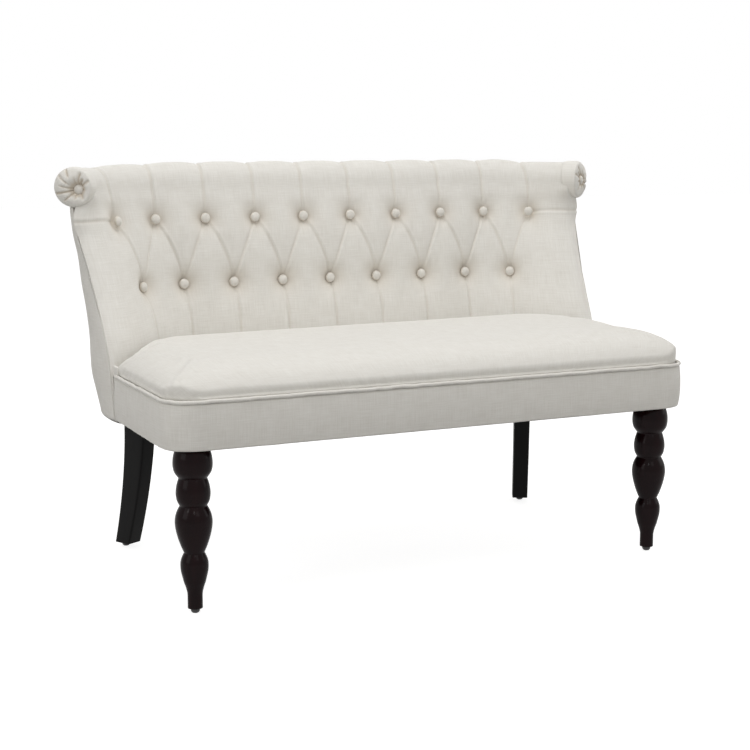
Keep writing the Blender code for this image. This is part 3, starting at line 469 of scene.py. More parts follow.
def build_weave():
    group, start, end = group_of(
        "plain weave",
        (("Cloth", "NodeSocketVector", None), ("Thread", "NodeSocketFloat", 0.0011),
         ("Slub", "NodeSocketFloat", 1.0)),
        (("Tone", "NodeSocketFloat"), ("Height", "NodeSocketFloat")),
    )
    cloth, thread, slub = (start.outputs[label] for label in ("Cloth", "Thread", "Slub"))
    split = group.nodes.new("ShaderNodeSeparateXYZ")
    group.links.new(cloth, split.inputs[0])
    waves = []
    for axis in "XY":
        turns = math_node(group, "DIVIDE", split.outputs[axis], thread)
        waves.append(math_node(group, "SINE", math_node(group, "MULTIPLY", turns, math.pi)))
    crossing = math_node(group, "MULTIPLY", waves[0], waves[1])
    warp = stretched_noise(group, cloth, (560, 26, 1))
    weft = stretched_noise(group, cloth, (26, 560, 1))
    patch = stretched_noise(group, cloth, (42, 42, 1), detail=3.0)
    streaks = math_node(group, "SUBTRACT", math_node(group, "ADD", warp, weft), 1.0)
    streaks = math_node(group, "MULTIPLY", streaks, slub)
    uneven = math_node(group, "MULTIPLY", math_node(group, "SUBTRACT", patch, 0.5), 0.5)
    tone = math_node(group, "ADD", streaks, math_node(group, "MULTIPLY", crossing, 0.10))
    group.links.new(math_node(group, "ADD", tone, uneven), end.inputs["Tone"])
    height = math_node(group, "ADD", streaks, math_node(group, "MULTIPLY", crossing, 0.35))
    group.links.new(height, end.inputs["Height"])
    return group


weave = build_weave()
print("weave group", len(weave.nodes), "nodes")

# %% [markdown]
# Deep in a tuft, light bounces between cream walls and comes out warmer. That warm shade is painted into the colour:
# a vertex attribute called fold, from 0 on open cloth to 1 in the bottom of a pleat, lets the
# material paint darker, warmer shade there. The sheen is the light fuzz of linen.

# %% Linen material
LINEN_LIGHT = (0.80, 0.785, 0.745)
LINEN_DARK = (0.68, 0.655, 0.605)
# The fold colours are painted shade, mixed in where the fold attribute is high
LINEN_FOLD_SHADE = (0.62, 0.56, 0.475)
DUST_LIGHT = (0.030, 0.030, 0.032)
DUST_DARK = (0.015, 0.015, 0.016)
DUST_FOLD_SHADE = (0.01, 0.01, 0.01)


def mix_colour(tree, factor, first, second):
    mix = tree.nodes.new("ShaderNodeMix")
    mix.data_type = "RGBA"
    for socket, value in ((mix.inputs["Factor"], factor), (mix.inputs["A"], first), (mix.inputs["B"], second)):
        if isinstance(value, tuple):
            socket.default_value = (*value, 1)
        elif isinstance(value, (int, float)):
            socket.default_value = value
        else:
            tree.links.new(value, socket)
    return mix.outputs["Result"]


def bump(tree, height, strength, distance):
    node = tree.nodes.new("ShaderNodeBump")
    node.inputs["Strength"].default_value = strength
    node.inputs["Distance"].default_value = distance
    tree.links.new(height, node.inputs["Height"])
    return node.outputs["Normal"]


def weave_material(name, light, dark, fold, slub=1.0, sheen=0.25):
    material, nodes, links, shader = new_material(name)
    tree = material.node_tree
    cloth = nodes.new("ShaderNodeUVMap")
    cloth.uv_map = "cloth"
    threads = nodes.new("ShaderNodeGroup")
    threads.node_tree = weave
    threads.inputs["Slub"].default_value = slub
    links.new(cloth.outputs["UV"], threads.inputs["Cloth"])
    tone = math_node(tree, "MULTIPLY_ADD", threads.outputs["Tone"], 1.0, 0.55)
    tone = math_node(tree, "MAXIMUM", math_node(tree, "MINIMUM", tone, 1.0), 0.0)
    colour = mix_colour(tree, tone, dark, light)
    fold_shade_node = nodes.new("ShaderNodeAttribute")
    fold_shade_node.attribute_name = "fold"
    # Painted shade: the fold attribute mixes the darker, warmer fold colour into the cloth's colour
    links.new(mix_colour(tree, fold_shade_node.outputs["Fac"], colour, fold), shader.inputs["Base Color"])
    rough = math_node(tree, "MULTIPLY_ADD", threads.outputs["Tone"], -0.12, 0.88)
    links.new(rough, shader.inputs["Roughness"])
    links.new(bump(tree, threads.outputs["Height"], 0.35, 0.0006), shader.inputs["Normal"])
    shader.inputs["Specular IOR Level"].default_value = 0.25
    shader.inputs["Sheen Weight"].default_value = sheen
    shader.inputs["Sheen Roughness"].default_value = 0.5
    return material


linen = weave_material("cream linen", LINEN_LIGHT, LINEN_DARK, LINEN_FOLD_SHADE)
dust_black = weave_material("black dust cloth", DUST_LIGHT, DUST_DARK, DUST_FOLD_SHADE, slub=0.5, sheen=0.1)
print("cloth materials", linen.name, dust_black.name)

# %% [markdown]
# ## The tufted back
#
# The inside back is one piece of cloth over foam. It rises from the seat, rolls backward
# over the top and is pulled through at two staggered rows of buttons. Spare cloth between
# the buttons is tucked into pleats: up over the roll from each upper button, down to the
# seat from each lower one, and slanting between the rows.
#
# It could be sculpted by hand, but its form is a rule: the depth of the cloth under its
# crest depends on how far a point lies from the nearest button and pleat. The rule gives
# the first shape, a cloth simulation then blows the puffs up against the pins, and the
# narrow pleats are pressed in at the end, because a coarse simulated mesh can't hold them.

# %% The section of the back, from the seat over the roll
PAD_FOOT_Z = DECK_TOP_Z + CONTACT_GAP
ROLL_ANGLES = (160, 137, 115, 90, 66, 43, 21, 0, -22, -45, -68)
UPRIGHT_ROWS = 9
NECK_ROWS = ((0.90, 0.0, 0.668), (0.62, 0.0, 0.6965), (0.28, 0.0, 0.722))
FIRST_ROLL_ROW = UPRIGHT_ROWS + len(NECK_ROWS)


# Rows of the section: share of the padding in front, offset behind the tufting plane, height
def section_rows():
    rows = [(1.0, 0.0, z) for z in np.linspace(PAD_FOOT_Z, 0.640, UPRIGHT_ROWS)]
    rows += NECK_ROWS
    for angle in ROLL_ANGLES:
        turn = math.radians(angle)
        rows.append((0.0, ROLL_SETBACK + ROLL_RADIUS * math.cos(turn), ROLL_AXIS_Z + ROLL_RADIUS * math.sin(turn)))
    rows += [(0.0, 0.036, ROLL_FOOT_Z - 0.004), (0.0, BACKING + 0.006, ROLL_FOOT_Z - 0.012)]
    rows += [(0.0, BACKING, z) for z in (0.62, 0.50, PAD_FOOT_Z)]
    rows += [(1.0, 0.0, PAD_FOOT_Z)]
    return np.array(rows)


SECTION = section_rows()
steps = np.hypot(np.diff(SECTION[:, 1] - PADDING * SECTION[:, 0]), np.diff(SECTION[:, 2]))
SECTION_RUN = np.concatenate([[0], np.cumsum(steps)]) + PAD_FOOT_Z
ROLL_TOP_RUN = SECTION_RUN[FIRST_ROLL_ROW + ROLL_ANGLES.index(90)]
HIDDEN_RUN = SECTION_RUN[FIRST_ROLL_ROW + len(ROLL_ANGLES)]


# The shown part is a smooth curve, and the hidden rear and foot are straight
def section_at(run, padding):
    front, offset, z = (
        np.where(run < HIDDEN_RUN, read_smooth(SECTION_RUN, column, run), np.interp(run, SECTION_RUN, column))
        for column in SECTION.T
    )
    return offset - padding * np.clip(front, 0, 1), z


print("cloth from the seat to the top of the roll", round(ROLL_TOP_RUN - PAD_FOOT_Z, 3), "m")

# %% [markdown]
# Each pleat is a short curve on the cloth. The slanting ones bow outward a little and the
# lower ones swing aside under their button before they drop, as the tucked cloth does.

# %% The pleats
SLANT_BOWS = {1: 0.004, -1: -0.007}
LOWER_SWING = 0.007
LAST_PLEAT_LEAN = -0.028
LEVEL_REACH = 0.100
LEVEL_RISE = 0.002
LEVEL_BOW = 0.003


def bowed(start, end, bow, count=7):
    start, end = np.array(start, float), np.array(end, float)
    run = end - start
    side = np.array([-run[1], run[0]]) / np.hypot(*run)
    shares = np.linspace(0, 1, count)[:, None]
    return start + run * shares + side * bow * np.sin(np.pi * shares)


# The slanting, upright, lower and level pleats
def pleat_lines():
    slanting, upright, lower, level = [], [], [], []
    for low in LOWER_PLACES:
        for side, bow in sorted(SLANT_BOWS.items()):
            high = low + side * BUTTON_PITCH / 2
            slanting.append(bowed((low, LOWER_ROW_Z), (high, UPPER_ROW_Z), bow))
        swing = LOWER_SWING * (1 - np.exp(-np.linspace(0, 4, 8)))
        drop = np.linspace(LOWER_ROW_Z, PAD_FOOT_Z - 0.02, 8)
        lower.append(np.column_stack([low + swing, drop]))
    for high in UPPER_PLACES:
        lean = LAST_PLEAT_LEAN if high > LAST_BUTTON - 0.01 else 0.0
        runs = np.linspace(UPPER_ROW_Z, HIDDEN_RUN, 10)
        upright.append(np.column_stack([high + lean * share_of(runs, UPPER_ROW_Z, ROLL_TOP_RUN) ** 2, runs]))
    for side in (-1, 1):
        start = side * LAST_BUTTON
        end = (start + side * LEVEL_REACH, UPPER_ROW_Z + LEVEL_RISE)
        level.append(bowed((start, UPPER_ROW_Z), end, side * LEVEL_BOW))
    return slanting, upright, lower, level


PLEATS = pleat_lines()


# Distance of every point to the nearest of some lines, and which side of it the point is on
def nearest_line(along, run, lines):
    best = np.full(along.shape, 1.0)
    side = np.zeros(along.shape)
    for line in lines:
        for start, end in zip(line, line[1:]):
            leg = end - start
            share = np.clip(((along - start[0]) * leg[0] + (run - start[1]) * leg[1]) / (leg @ leg), 0, 1)
            gap_x, gap_y = along - start[0] - share * leg[0], run - start[1] - share * leg[1]
            gap = np.hypot(gap_x, gap_y)
            nearer = gap < best
            best = np.where(nearer, gap, best)
            side = np.where(nearer, np.sign(gap_x * leg[1] - gap_y * leg[0]), side)
    return best, side


def nearest_button(along, run):
    gap = np.full(along.shape, 1.0)
    for places, height in ((UPPER_PLACES, UPPER_ROW_Z), (LOWER_PLACES, LOWER_ROW_Z)):
        for place in places:
            gap = np.minimum(gap, np.hypot(along - place, run - height))
    return gap


print("pleats", sum(len(lines) for lines in PLEATS))

# %% [markdown]
# How deep the cloth lies under its crest: a dimple round each button, and a wide soft
# valley along each pleat. The two are joined with a high power sum, which takes the deeper
# one and still leaves no crease where they cross.

# %% Depth of the tufts
DIMPLE_WIDTH = 0.027
DIMPLE_SHARE = 0.92
# Depth and half width of the valley along the slanting, upright, lower and level pleats
VALLEYS = ((0.0048, 0.040), (0.0042, 0.040), (0.0042, 0.042), (0.0022, 0.022))


def padding_at(along):
    wing = eased(share_of(np.abs(along), LAST_BUTTON - 0.01, LAST_BUTTON + 0.075))
    return PADDING + wing * (WING_PADDING - PADDING)


def tuft_depth(along, run):
    padding = padding_at(along)
    gap = nearest_button(along, run)
    dimple = DIMPLE_SHARE * padding * np.exp(-(gap / DIMPLE_WIDTH) ** 1.35)
    near = 1 + 0.8 * np.exp(-gap / 0.025)
    deepest = dimple ** 3
    for lines, (depth, width) in zip(PLEATS, VALLEYS):
        reach, side = nearest_line(along, run, lines)
        deepest = deepest + (depth * near * np.clip(1 - reach / width, 0, 1) ** 1.7) ** 3
    return deepest ** (1 / 3)


button_spot = np.array([LAST_BUTTON]), np.array([UPPER_ROW_Z])
print("cloth under a button lies", round(float(tuft_depth(*button_spot)[0]) * 1000, 1), "mm deep")

# %% [markdown]
# The grid of the back has a column on every button, so that the upright pleats run along
# its edges. Past the last button the columns spread over the wing, and the last ones turn
# the cloth round the wing's front edge to the seam with the outside cover.
#
# Above the wings the cloth leaves the wing's edge and goes over to the roll's own plan.
# Towards its ends the roll grows slimmer and its end is turned a little to the front. The
# two ends of the real roll are stuffed by hand and are not alike, so each has its own
# radius, reach and turn, with 1 for the right end and -1 for the left.

# %% The first shape of the back
COLUMNS_PER_PITCH = 22
WING_COLUMNS = 17
EDGE_COLUMNS = 9
EDGE_START = 0.76
WING_ROUND_START = 0.42
WRAP_START, WRAP_END = 0.55, 0.90
SEAM_INSET = 0.0032
SETTLE_ROOM = 0.0028
WING_FLARE = 0.010
ROLL_ROUND_START = 0.96
CAP_OVERLAP = 0.020
END_DROP = 0.0018
END_RADII = {1: 0.0408, -1: 0.0382}
END_REACHES = {1: 0.0185, -1: 0.0100}
END_TURNS = {1: math.radians(15), -1: math.radians(4)}
SLIM_STARTS = {1: LAST_BUTTON - 0.080, -1: LAST_BUTTON - 0.190}
SLIM_ENDS = {1: LAST_BUTTON + 0.025, -1: LAST_BUTTON + 0.060}
FRONT_ROWS = 62
ROLL_ROWS = 44
BACK_ROWS = 12
FOOT_ROWS = 4
LAST_RUN = SECTION_RUN[-1] - 0.0001
ROWS = FRONT_ROWS + ROLL_ROWS + BACK_ROWS + FOOT_ROWS
INNER_COLUMNS = COLUMNS_PER_PITCH * 9
ALL_COLUMNS = INNER_COLUMNS + 2 * (WING_COLUMNS + EDGE_COLUMNS)


# Signed share of the wing, and the turn round its front edge, of each column
def column_places(across):
    count = across * ALL_COLUMNS - ALL_COLUMNS / 2
    side = np.where(count < 0, -1.0, 1.0)
    count = np.abs(count)
    half = INNER_COLUMNS / 2
    along = np.minimum(count, half) * BUTTON_PITCH / COLUMNS_PER_PITCH
    wing = share_of(count, half, half + WING_COLUMNS) * EDGE_START
    turn = share_of(count, half + WING_COLUMNS, half + WING_COLUMNS + EDGE_COLUMNS) * math.pi / 2
    wing = wing + (1 - EDGE_START) * np.sin(turn)
    return side, along, wing, turn


def run_places(up):
    knots = np.cumsum((0, FRONT_ROWS, ROLL_ROWS, BACK_ROWS, FOOT_ROWS))
    return np.interp(up * ROWS, knots, (PAD_FOOT_Z, ROLL_FOOT_Z, HIDDEN_RUN, SECTION_RUN[-2], SECTION_RUN[-1]))


# The pad's cloth, lying a little inside its final place to leave room for settling
def lay_back(across, up):
    side, inner, wing, turn = column_places(across)
    run = run_places(up)
    reach = inner + wing * 0.09
    along_cloth = side * reach
    padding = padding_at(along_cloth)
    offset, z = section_at(run, padding)
    ahead, above = section_at(run + 0.0005, padding)
    slope_x, slope_z = ahead - offset, above - z
    length = np.hypot(slope_x, slope_z)
    hidden = share_of(run, ROLL_TOP_RUN + 0.05, HIDDEN_RUN)
    depth = (tuft_depth(along_cloth, run) + SETTLE_ROOM) * (1 - hidden)
    depth = np.where(run > LAST_RUN, tuft_depth(along_cloth, PAD_FOOT_Z + 0 * run) + SETTLE_ROOM, depth)
    offset = offset + depth * slope_z / length
    z = z - depth * slope_x / length
    plan_z = np.where(run < ROLL_TOP_RUN, np.minimum(z, ROLL_FOOT_Z), ROLL_FOOT_Z)
    plan_z = np.where(run > HIDDEN_RUN, z, plan_z)
    plan = Plan(plan_z)
    along = side * (inner + wing * (plan.length - LAST_BUTTON))
    shown = 1 - eased(share_of(run, HIDDEN_RUN - 0.01, HIDDEN_RUN + 0.02))
    on_roll = eased(share_of(run, ROLL_FOOT_Z - 0.026, ROLL_FOOT_Z + 0.030)) * shown
    seam = plan.depth - SEAM_INSET
    round_edge = 1 - np.sqrt(1 - share_of(wing, WING_ROUND_START, 1.0) ** 2)
    wrapped = eased(share_of(wing, WRAP_START, WRAP_END)) * share_of(run, HIDDEN_RUN - 0.01, HIDDEN_RUN + 0.01)
    round_edge = np.where(run < LAST_RUN, np.maximum(round_edge, wrapped), round_edge)
    flare = WING_FLARE * eased(share_of(run, ROLL_FOOT_Z - 0.060, ROLL_FOOT_Z)) * share_of(wing, 0.3, 1.0) ** 1.5
    flare = flare * shown
    wing_x, wing_y = plan.point(along + side * flare, offset + (seam - offset) * round_edge)
    radius, reach_out, turn_out, slim_start, slim_end = (
        np.where(side > 0, pair[1], pair[-1])
        for pair in (END_RADII, END_REACHES, END_TURNS, SLIM_STARTS, SLIM_ENDS)
    )
    slim = eased(share_of(reach, slim_start, slim_end))
    round_roll = 1 - np.sqrt(1 - share_of(wing, ROLL_ROUND_START, 1.0) ** 2)
    rim = (1 - (1 - radius / ROLL_RADIUS) * slim) * (1 - 0.5 * round_roll)
    roll_z = ROLL_AXIS_Z + (z - ROLL_AXIS_Z) * rim - END_DROP * slim
    longer = reach_out - CAP_OVERLAP - np.tan(turn_out) * (offset - ROLL_SETBACK)
    roll_along = side * (inner + wing * (ROLL_PLAN.length - LAST_BUTTON) + longer * wing ** 1.5)
    roll_x, roll_y = ROLL_PLAN.point(roll_along, ROLL_SETBACK + (offset - ROLL_SETBACK) * rim)
    x, y = wing_x + on_roll * (roll_x - wing_x), wing_y + on_roll * (roll_y - wing_y)
    z = z + on_roll * (roll_z - z)
    return (x, y, z), (along_cloth, run)


back_mesh = cloth_grid("inside_back", ALL_COLUMNS, ROWS, lay_back)
back = add_piece("inside_back", back_mesh, linen, "linen", "inside_back")
print("inside back", len(back_mesh.polygons), "faces before the simulation")

# %% [markdown]
# ### Letting the cloth settle
#
# In the simulation, air pressure stands for the foam. The buttons, the pleats and the
# edges are pinned. The cloth is let out by a small share, so it has to buckle a little
# near the pins, and that gives the small wrinkles that no rule would give. A cap on how
# far a point may move keeps every puff in its place.

# %% Cloth simulation
def simulate(piece, pins, pressure, slack, cap, frames=20):
    mesh = piece.data
    before = points_of(mesh)
    group = piece.vertex_groups.new(name="pins")
    for level in (0.25, 0.5, 0.75, 1.0):
        held = np.nonzero(pins > level - 0.125)[0]
        group.add([int(index) for index in held], level, "REPLACE")
    cloth = piece.modifiers.new("Settling", "CLOTH")
    cloth.settings.vertex_group_mass = "pins"
    cloth.settings.quality = 6
    cloth.settings.mass = 0.25
    cloth.settings.tension_stiffness = 12
    cloth.settings.compression_stiffness = 12
    cloth.settings.shear_stiffness = 6
    cloth.settings.bending_stiffness = 0.08
    cloth.settings.use_pressure = True
    cloth.settings.uniform_pressure_force = pressure
    cloth.settings.shrink_min = -slack
    cloth.settings.shrink_max = -slack
    cloth.settings.effector_weights.gravity = 0
    cloth.collision_settings.use_collision = False
    cloth.point_cache.frame_start = 1
    cloth.point_cache.frame_end = frames
    for moment in range(1, frames + 1):
        bpy.context.scene.frame_set(moment)
    graph = bpy.context.evaluated_depsgraph_get()
    settled = piece.evaluated_get(graph).to_mesh()
    after = points_of(settled)
    piece.evaluated_get(graph).to_mesh_clear()
    piece.modifiers.remove(cloth)
    piece.vertex_groups.remove(group)
    bpy.context.scene.frame_set(1)
    move = after - before
    length = np.maximum(np.linalg.norm(move, axis=1), 1e-9)
    move *= (np.minimum(length, cap) / length)[:, None]
    set_points(mesh, before + move)
    print(piece.name, "settled: moved", round(float(length.max()) * 1000, 1), "mm at most, mean",
          round(float(np.minimum(length, cap).mean()) * 1000, 2), "mm")


# Where each point lies on the cut cloth, read back from the UV map
def cloth_of(mesh):
    marks = np.zeros(len(mesh.loops) * 2)
    mesh.uv_layers["cloth"].data.foreach_get("uv", marks)
    cloth = np.zeros((len(mesh.vertices), 2))
    cloth[corner_points(mesh)] = marks.reshape(-1, 2)
    return cloth


def back_pins(along, run):
    gap = nearest_button(along, run)
    reach, side = nearest_line(along, run, [line for lines in PLEATS for line in lines])
    pins = np.maximum(share_of(0.020 - gap, 0, 0.008), share_of(0.006 - reach, 0, 0.003))
    pins = np.maximum(pins, share_of(np.abs(along), LAST_BUTTON + 0.060, LAST_BUTTON + 0.075))
    pins = np.maximum(pins, share_of(run, HIDDEN_RUN - 0.02, HIDDEN_RUN))
    return np.maximum(pins, share_of(PAD_FOOT_Z + 0.010 - run, 0, 0.008))


cloth = cloth_of(back.data)
simulate(back, back_pins(cloth[:, 0], cloth[:, 1]), pressure=4.0, slack=0.012, cap=0.006)

# %% [markdown]
# Now the mesh is made finer, and each pleat is pressed in: a narrow trench whose one wall
# is a rolled fold of cloth that stands a little proud. The same distances fill the fold
# attribute, which the material turns into painted shade round the buttons and in the pleats.

# %% Pressed pleats
TRENCH_WIDTH = 0.0028
TRENCH_DEPTH = 0.0019
LIP_HEIGHT = 0.0011
PLEAT_STRENGTHS = (0.9, 1.0, 0.9, 0.8)


def press_pleats(piece):
    finer = subdivided(piece, 1)
    finer.uv_smooth = "NONE"
    mesh = applied(piece)
    marks = cloth_of(mesh)
    along, run = marks[:, 0], marks[:, 1]
    gap = nearest_button(along, run)
    press = np.zeros(len(along))
    # Painted shade: fold darkens the cloth round each button and along each pleat's trench
    fold = 0.85 * np.exp(-(gap / 0.024) ** 1.6)
    for lines, strength in zip(PLEATS, PLEAT_STRENGTHS):
        reach, side = nearest_line(along, run, lines)
        trench = np.exp(-(reach / TRENCH_WIDTH) ** 4)
        lip = np.exp(-((reach - 2 * TRENCH_WIDTH) / TRENCH_WIDTH) ** 2) * (side > 0)
        press = press + strength * (TRENCH_DEPTH * trench - LIP_HEIGHT * lip)
        fold = np.maximum(fold, 0.30 * strength * trench)
    hidden = share_of(run, ROLL_TOP_RUN + 0.08, HIDDEN_RUN)
    press = press * (1 - hidden) * (1 - np.exp(-(gap / 0.010) ** 2))
    places = points_of(mesh) - points_of(mesh, "normal") * press[:, None]
    first, last = np.nonzero(run < PAD_FOOT_Z + 0.00001)[0], np.nonzero(run > SECTION_RUN[-1] - 0.00001)[0]
    places[last[np.argsort(along[last])]] = places[first[np.argsort(along[first])]]
    set_points(mesh, places)
    mark_fold_shade(mesh, fold)
    return mesh


back_mesh = press_pleats(back)
close_up(back_mesh)
back_mesh.shade_smooth()
print("inside back", len(back_mesh.polygons), "faces")

# %% [markdown]
# ## Covered buttons
#
# A covered button is a tin dome with cloth stretched over it. A profile spun round its
# axis gives the dome. Each button is turned to face out of the back where it sits, and its
# place is the CAD button's own.

# %% Tuft buttons
BUTTON_PROFILE = (
    (0.0, 0.0066), (0.0030, 0.0063), (0.0058, 0.0053), (0.0082, 0.0036),
    (0.0098, 0.0014), (0.0104, -0.0006), (0.0098, -0.0024), (0.0086, -0.0030), (0.0, -0.0030),
)
BUTTON_SINK = 0.0018


# Turned solid: a line of radius and height, spun round the upright axis
def spun(name, profile, steps):
    bm = bmesh.new()
    line = [bm.verts.new((radius, 0, height)) for radius, height in profile]
    edges = [bm.edges.new(pair) for pair in zip(line, line[1:])]
    bmesh.ops.spin(
        bm, geom=line + edges, cent=(0, 0, 0), axis=(0, 0, 1), angle=2 * math.pi, steps=steps,
        use_merge=True,
    )
    bmesh.ops.remove_doubles(bm, verts=bm.verts, dist=0.00001)
    bmesh.ops.recalc_face_normals(bm, faces=bm.faces)
    return mesh_from(bm, name)


def centre_of(node):
    low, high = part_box(node)
    return (low + high) / 2


def facing(place, direction):
    turn = direction.to_track_quat("Z", "Y").to_matrix().to_4x4()
    return Matrix.Translation(place) @ turn


def covered_button(node, direction, turn=0.0, spot=None):
    mesh = spun(node, BUTTON_PROFILE, 32)
    places = points_of(mesh)
    map_cloth(mesh, places[:, :2])
    radius = np.hypot(places[:, 0], places[:, 1])
    # Painted shade: a little of the fold colour over the whole dome and much more at the rim where the button sinks
    # in
    mark_fold_shade(mesh, 0.15 + 0.75 * share_of(radius, 0.0088, 0.0104))
    spot = spot or centre_of(node) - direction * BUTTON_SINK
    mesh.transform(facing(spot, direction) @ Matrix.Rotation(turn, 4, "Z"))
    return add_piece(node, mesh, linen, "linen", node)


def out_of_back(along, z):
    plan = Plan(np.array([z]))
    near, far = plan.point(np.array([along]), 0.0), plan.point(np.array([along]), -PADDING)
    return Vector((far[0][0] - near[0][0], far[1][0] - near[1][0], 0.0015)).normalized()


for row, height, places in (("upper", UPPER_ROW_Z, UPPER_PLACES), ("lower", LOWER_ROW_Z, LOWER_PLACES)):
    for number, along in enumerate(places, 1):
        node = "tuft_button_%s_%02d" % (row, number)
        covered_button(node, out_of_back(along, height), turn=0.3 * math.sin(7.0 * number))
print("tuft buttons", len(UPPER_PLACES) + len(LOWER_PLACES))

# %% [markdown]
# ## The ends of the roll
#
# At each end of the roll the cloth is gathered to a button. Its spare width makes short
# pleats that run out from the button, none quite like the next. The gathered end is a
# round grid: one way runs round it, and the other runs from the button over the swollen
# rim and back inside the roll. Each pleat is a narrow groove at its own angle, length and
# depth. The two ends have their own size, turn and button place, as on the roll.

# %% Gathered roll ends
# Angle from the outer side in degrees, start and end as shares of the way to the rim, and
# depth in steps of GROOVE_DEPTH
GATHERS = (
    (4, 0.06, 0.66, 2.2), (34, 0.35, 0.98, 2.0), (63, 0.55, 1.00, 3.0), (88, 0.06, 0.52, 1.6),
    (112, 0.06, 0.80, 2.8), (131, 0.06, 0.62, 3.4), (152, 0.06, 0.88, 2.4), (186, 0.06, 0.50, 1.6),
    (226, 0.06, 0.72, 2.6), (262, 0.06, 0.55, 1.8), (297, 0.10, 0.78, 2.6), (334, 0.06, 0.92, 3.8),
)
GROOVE_DEPTH = 0.0015
RING_GAP = 0.0004
BUTTON_SHIFTS = {1: (-0.0020, -0.0010), -1: (-0.0095, -0.0045)}
BUTTON_SEATS = {1: 0.0004, -1: -0.0100}
RIM_SHARES = (0.0, 0.14, 0.28, 0.44, 0.60, 0.76, 0.90, 0.980, 0.999, 0.996, 0.955)
FAR_BULGES = (0.0, 0.0008, 0.0095, 0.0124, 0.0124, 0.0102, 0.0062, 0.0000, -0.0080, -0.0240, -0.0360)
NEAR_BULGES = (0.0, 0.0006, 0.0030, 0.0030, 0.0014, -0.0006, -0.0026, -0.0058, -0.0120, -0.0260, -0.0360)


# One end's mesh, the way it faces and the place of its button
def gathered_end(side):
    shift_x, shift_y = BUTTON_SHIFTS[side]
    shade = []

    def lay(across, up):
        angle = across * 2 * math.pi
        ring = END_RADII[side] + RING_GAP
        steps = np.linspace(0, 1, len(RIM_SHARES))
        way = read_smooth(steps, RIM_SHARES, up)
        x = shift_x * (1 - way) + way * ring / math.cos(END_TURNS[side]) * np.cos(angle)
        y = shift_y * (1 - way) + way * ring * np.sin(angle)
        reach = np.hypot(x - shift_x, y - shift_y)
        far, near = read_smooth(steps, FAR_BULGES, up), read_smooth(steps, NEAR_BULGES, up)
        nearness = eased(0.5 - 0.5 * np.cos(angle))
        z = far + nearness * (near - far)
        x = x - np.minimum(z, 0) * math.tan(END_TURNS[side]) * share_of(way, 0.80, 0.94)
        z = z + (BUTTON_SEATS[side] - 0.001) * np.exp(-(reach / 0.016) ** 3)
        grooves = np.zeros(len(up))
        for degrees, start, end, depth in GATHERS:
            swing = np.angle(np.exp(1j * (angle - math.radians(degrees) - 0.12 * way)))
            width = 0.0013 + 0.0017 * way
            groove = np.exp(-(np.abs(swing) * reach / width) ** 1.5)
            fade = eased(share_of(end + 0.10 - way, 0, 0.20)) * eased(share_of(way, start - 0.06, start + 0.14))
            grooves = grooves + GROOVE_DEPTH * depth * groove * fade * (1 - share_of(way, 0.90, 0.97))
        # Painted shade in the grooves and in a ring round the button, which the material reads through the fold
        # attribute
        shade.append(np.clip(grooves / 0.0045 + np.exp(-((reach - 0.0115) / 0.0035) ** 2), 0, 1))
        return (x, y, z - grooves), (reach, angle * 0.02)

    mesh = cloth_grid("roll_end", 240, 36, lay)
    mark_fold_shade(mesh, shade[0])
    close_up(mesh, caps=False)
    length = float(ROLL_PLAN.length[0]) + END_REACHES[side]
    spots = [ROLL_PLAN.point(np.array([side * reach]), ROLL_SETBACK) for reach in (length - 0.05, length)]
    inner, outer = (Vector((float(x[0]), float(y[0]), ROLL_AXIS_Z - END_DROP)) for x, y in spots)
    direction = Matrix.Rotation(side * END_TURNS[side], 3, "Z") @ (outer - inner).normalized()
    across = Vector((-direction.y, direction.x, 0)) * side
    turn = Matrix((across, Vector((0, 0, 1)), direction)).transposed().to_4x4()
    mesh.transform(Matrix.Translation(outer) @ turn)
    close_up(mesh, caps=False)
    seat = outer + across * shift_x + Vector((0, 0, shift_y)) + direction * (BUTTON_SEATS[side] + 0.0020)
    return mesh, direction, seat


for side, name in ENDS:
    mesh, direction, seat = gathered_end(side)
    cap = add_piece("roll_end_cap_" + name, mesh, linen, "linen", "roll_end_cap_" + name)
    thicken(cap, 0.0015)
    covered_button("roll_end_button_" + name, direction, spot=seat)
print("roll ends", len(GATHERS), "pleats each")

# %% [markdown]
# ## The outside cover
#
# The back of the loveseat is covered with one smooth panel, pulled tight from wing to wing
# round the frame's corners. Its top is drawn in and runs up under the roll, its foot is
# rolled inward and tacked under the frame, and its front edges are turned in behind the
# wings' welts, most of all just under the roll's ends. It is a grid from wing to wing,
# given its thickness by a Solidify modifier.

# %% Outside cover
COVER_HEIGHTS = (0.250, 0.300, 0.340, 0.380, 0.410, 0.440, 0.500, 0.550, 0.610, 0.650, 0.700)
COVER_TURNS = (99, 102.5, 107, 111, 110.5, 108.5, 106, 104.5, 97.5, 94, 92)
COVER_FLAT_SHARE = 0.42
COVER_OVERLAP = 0.011
COVER_LIP = 0.018
COVER_LIP_RISE = 0.024
COVER_TUCK = 0.054
COVER_HEM = 0.0026
COVER_TOP_HEM = 0.0090
COVER_INSET = 0.0012
COVER_LIP_SHARE = 0.12


# The cover's plan at a height: an arc that leaves the flat rear and ends at the wing's edge
def cover_plan(z):
    rear = REAR_Y - read_smooth(COVER_HEIGHT_SHARES, COVER_REAR_SETBACKS, share_of(z, COVER_REAR_Z, COVER_TOP_Z))
    edge_x, edge_y = wing_edge(z)
    turn = np.radians(read_smooth(COVER_HEIGHTS, COVER_TURNS, z))
    radius = (rear - edge_y) / (1 - np.cos(turn))
    return rear, edge_x - COVER_INSET - radius * np.sin(turn), radius, turn


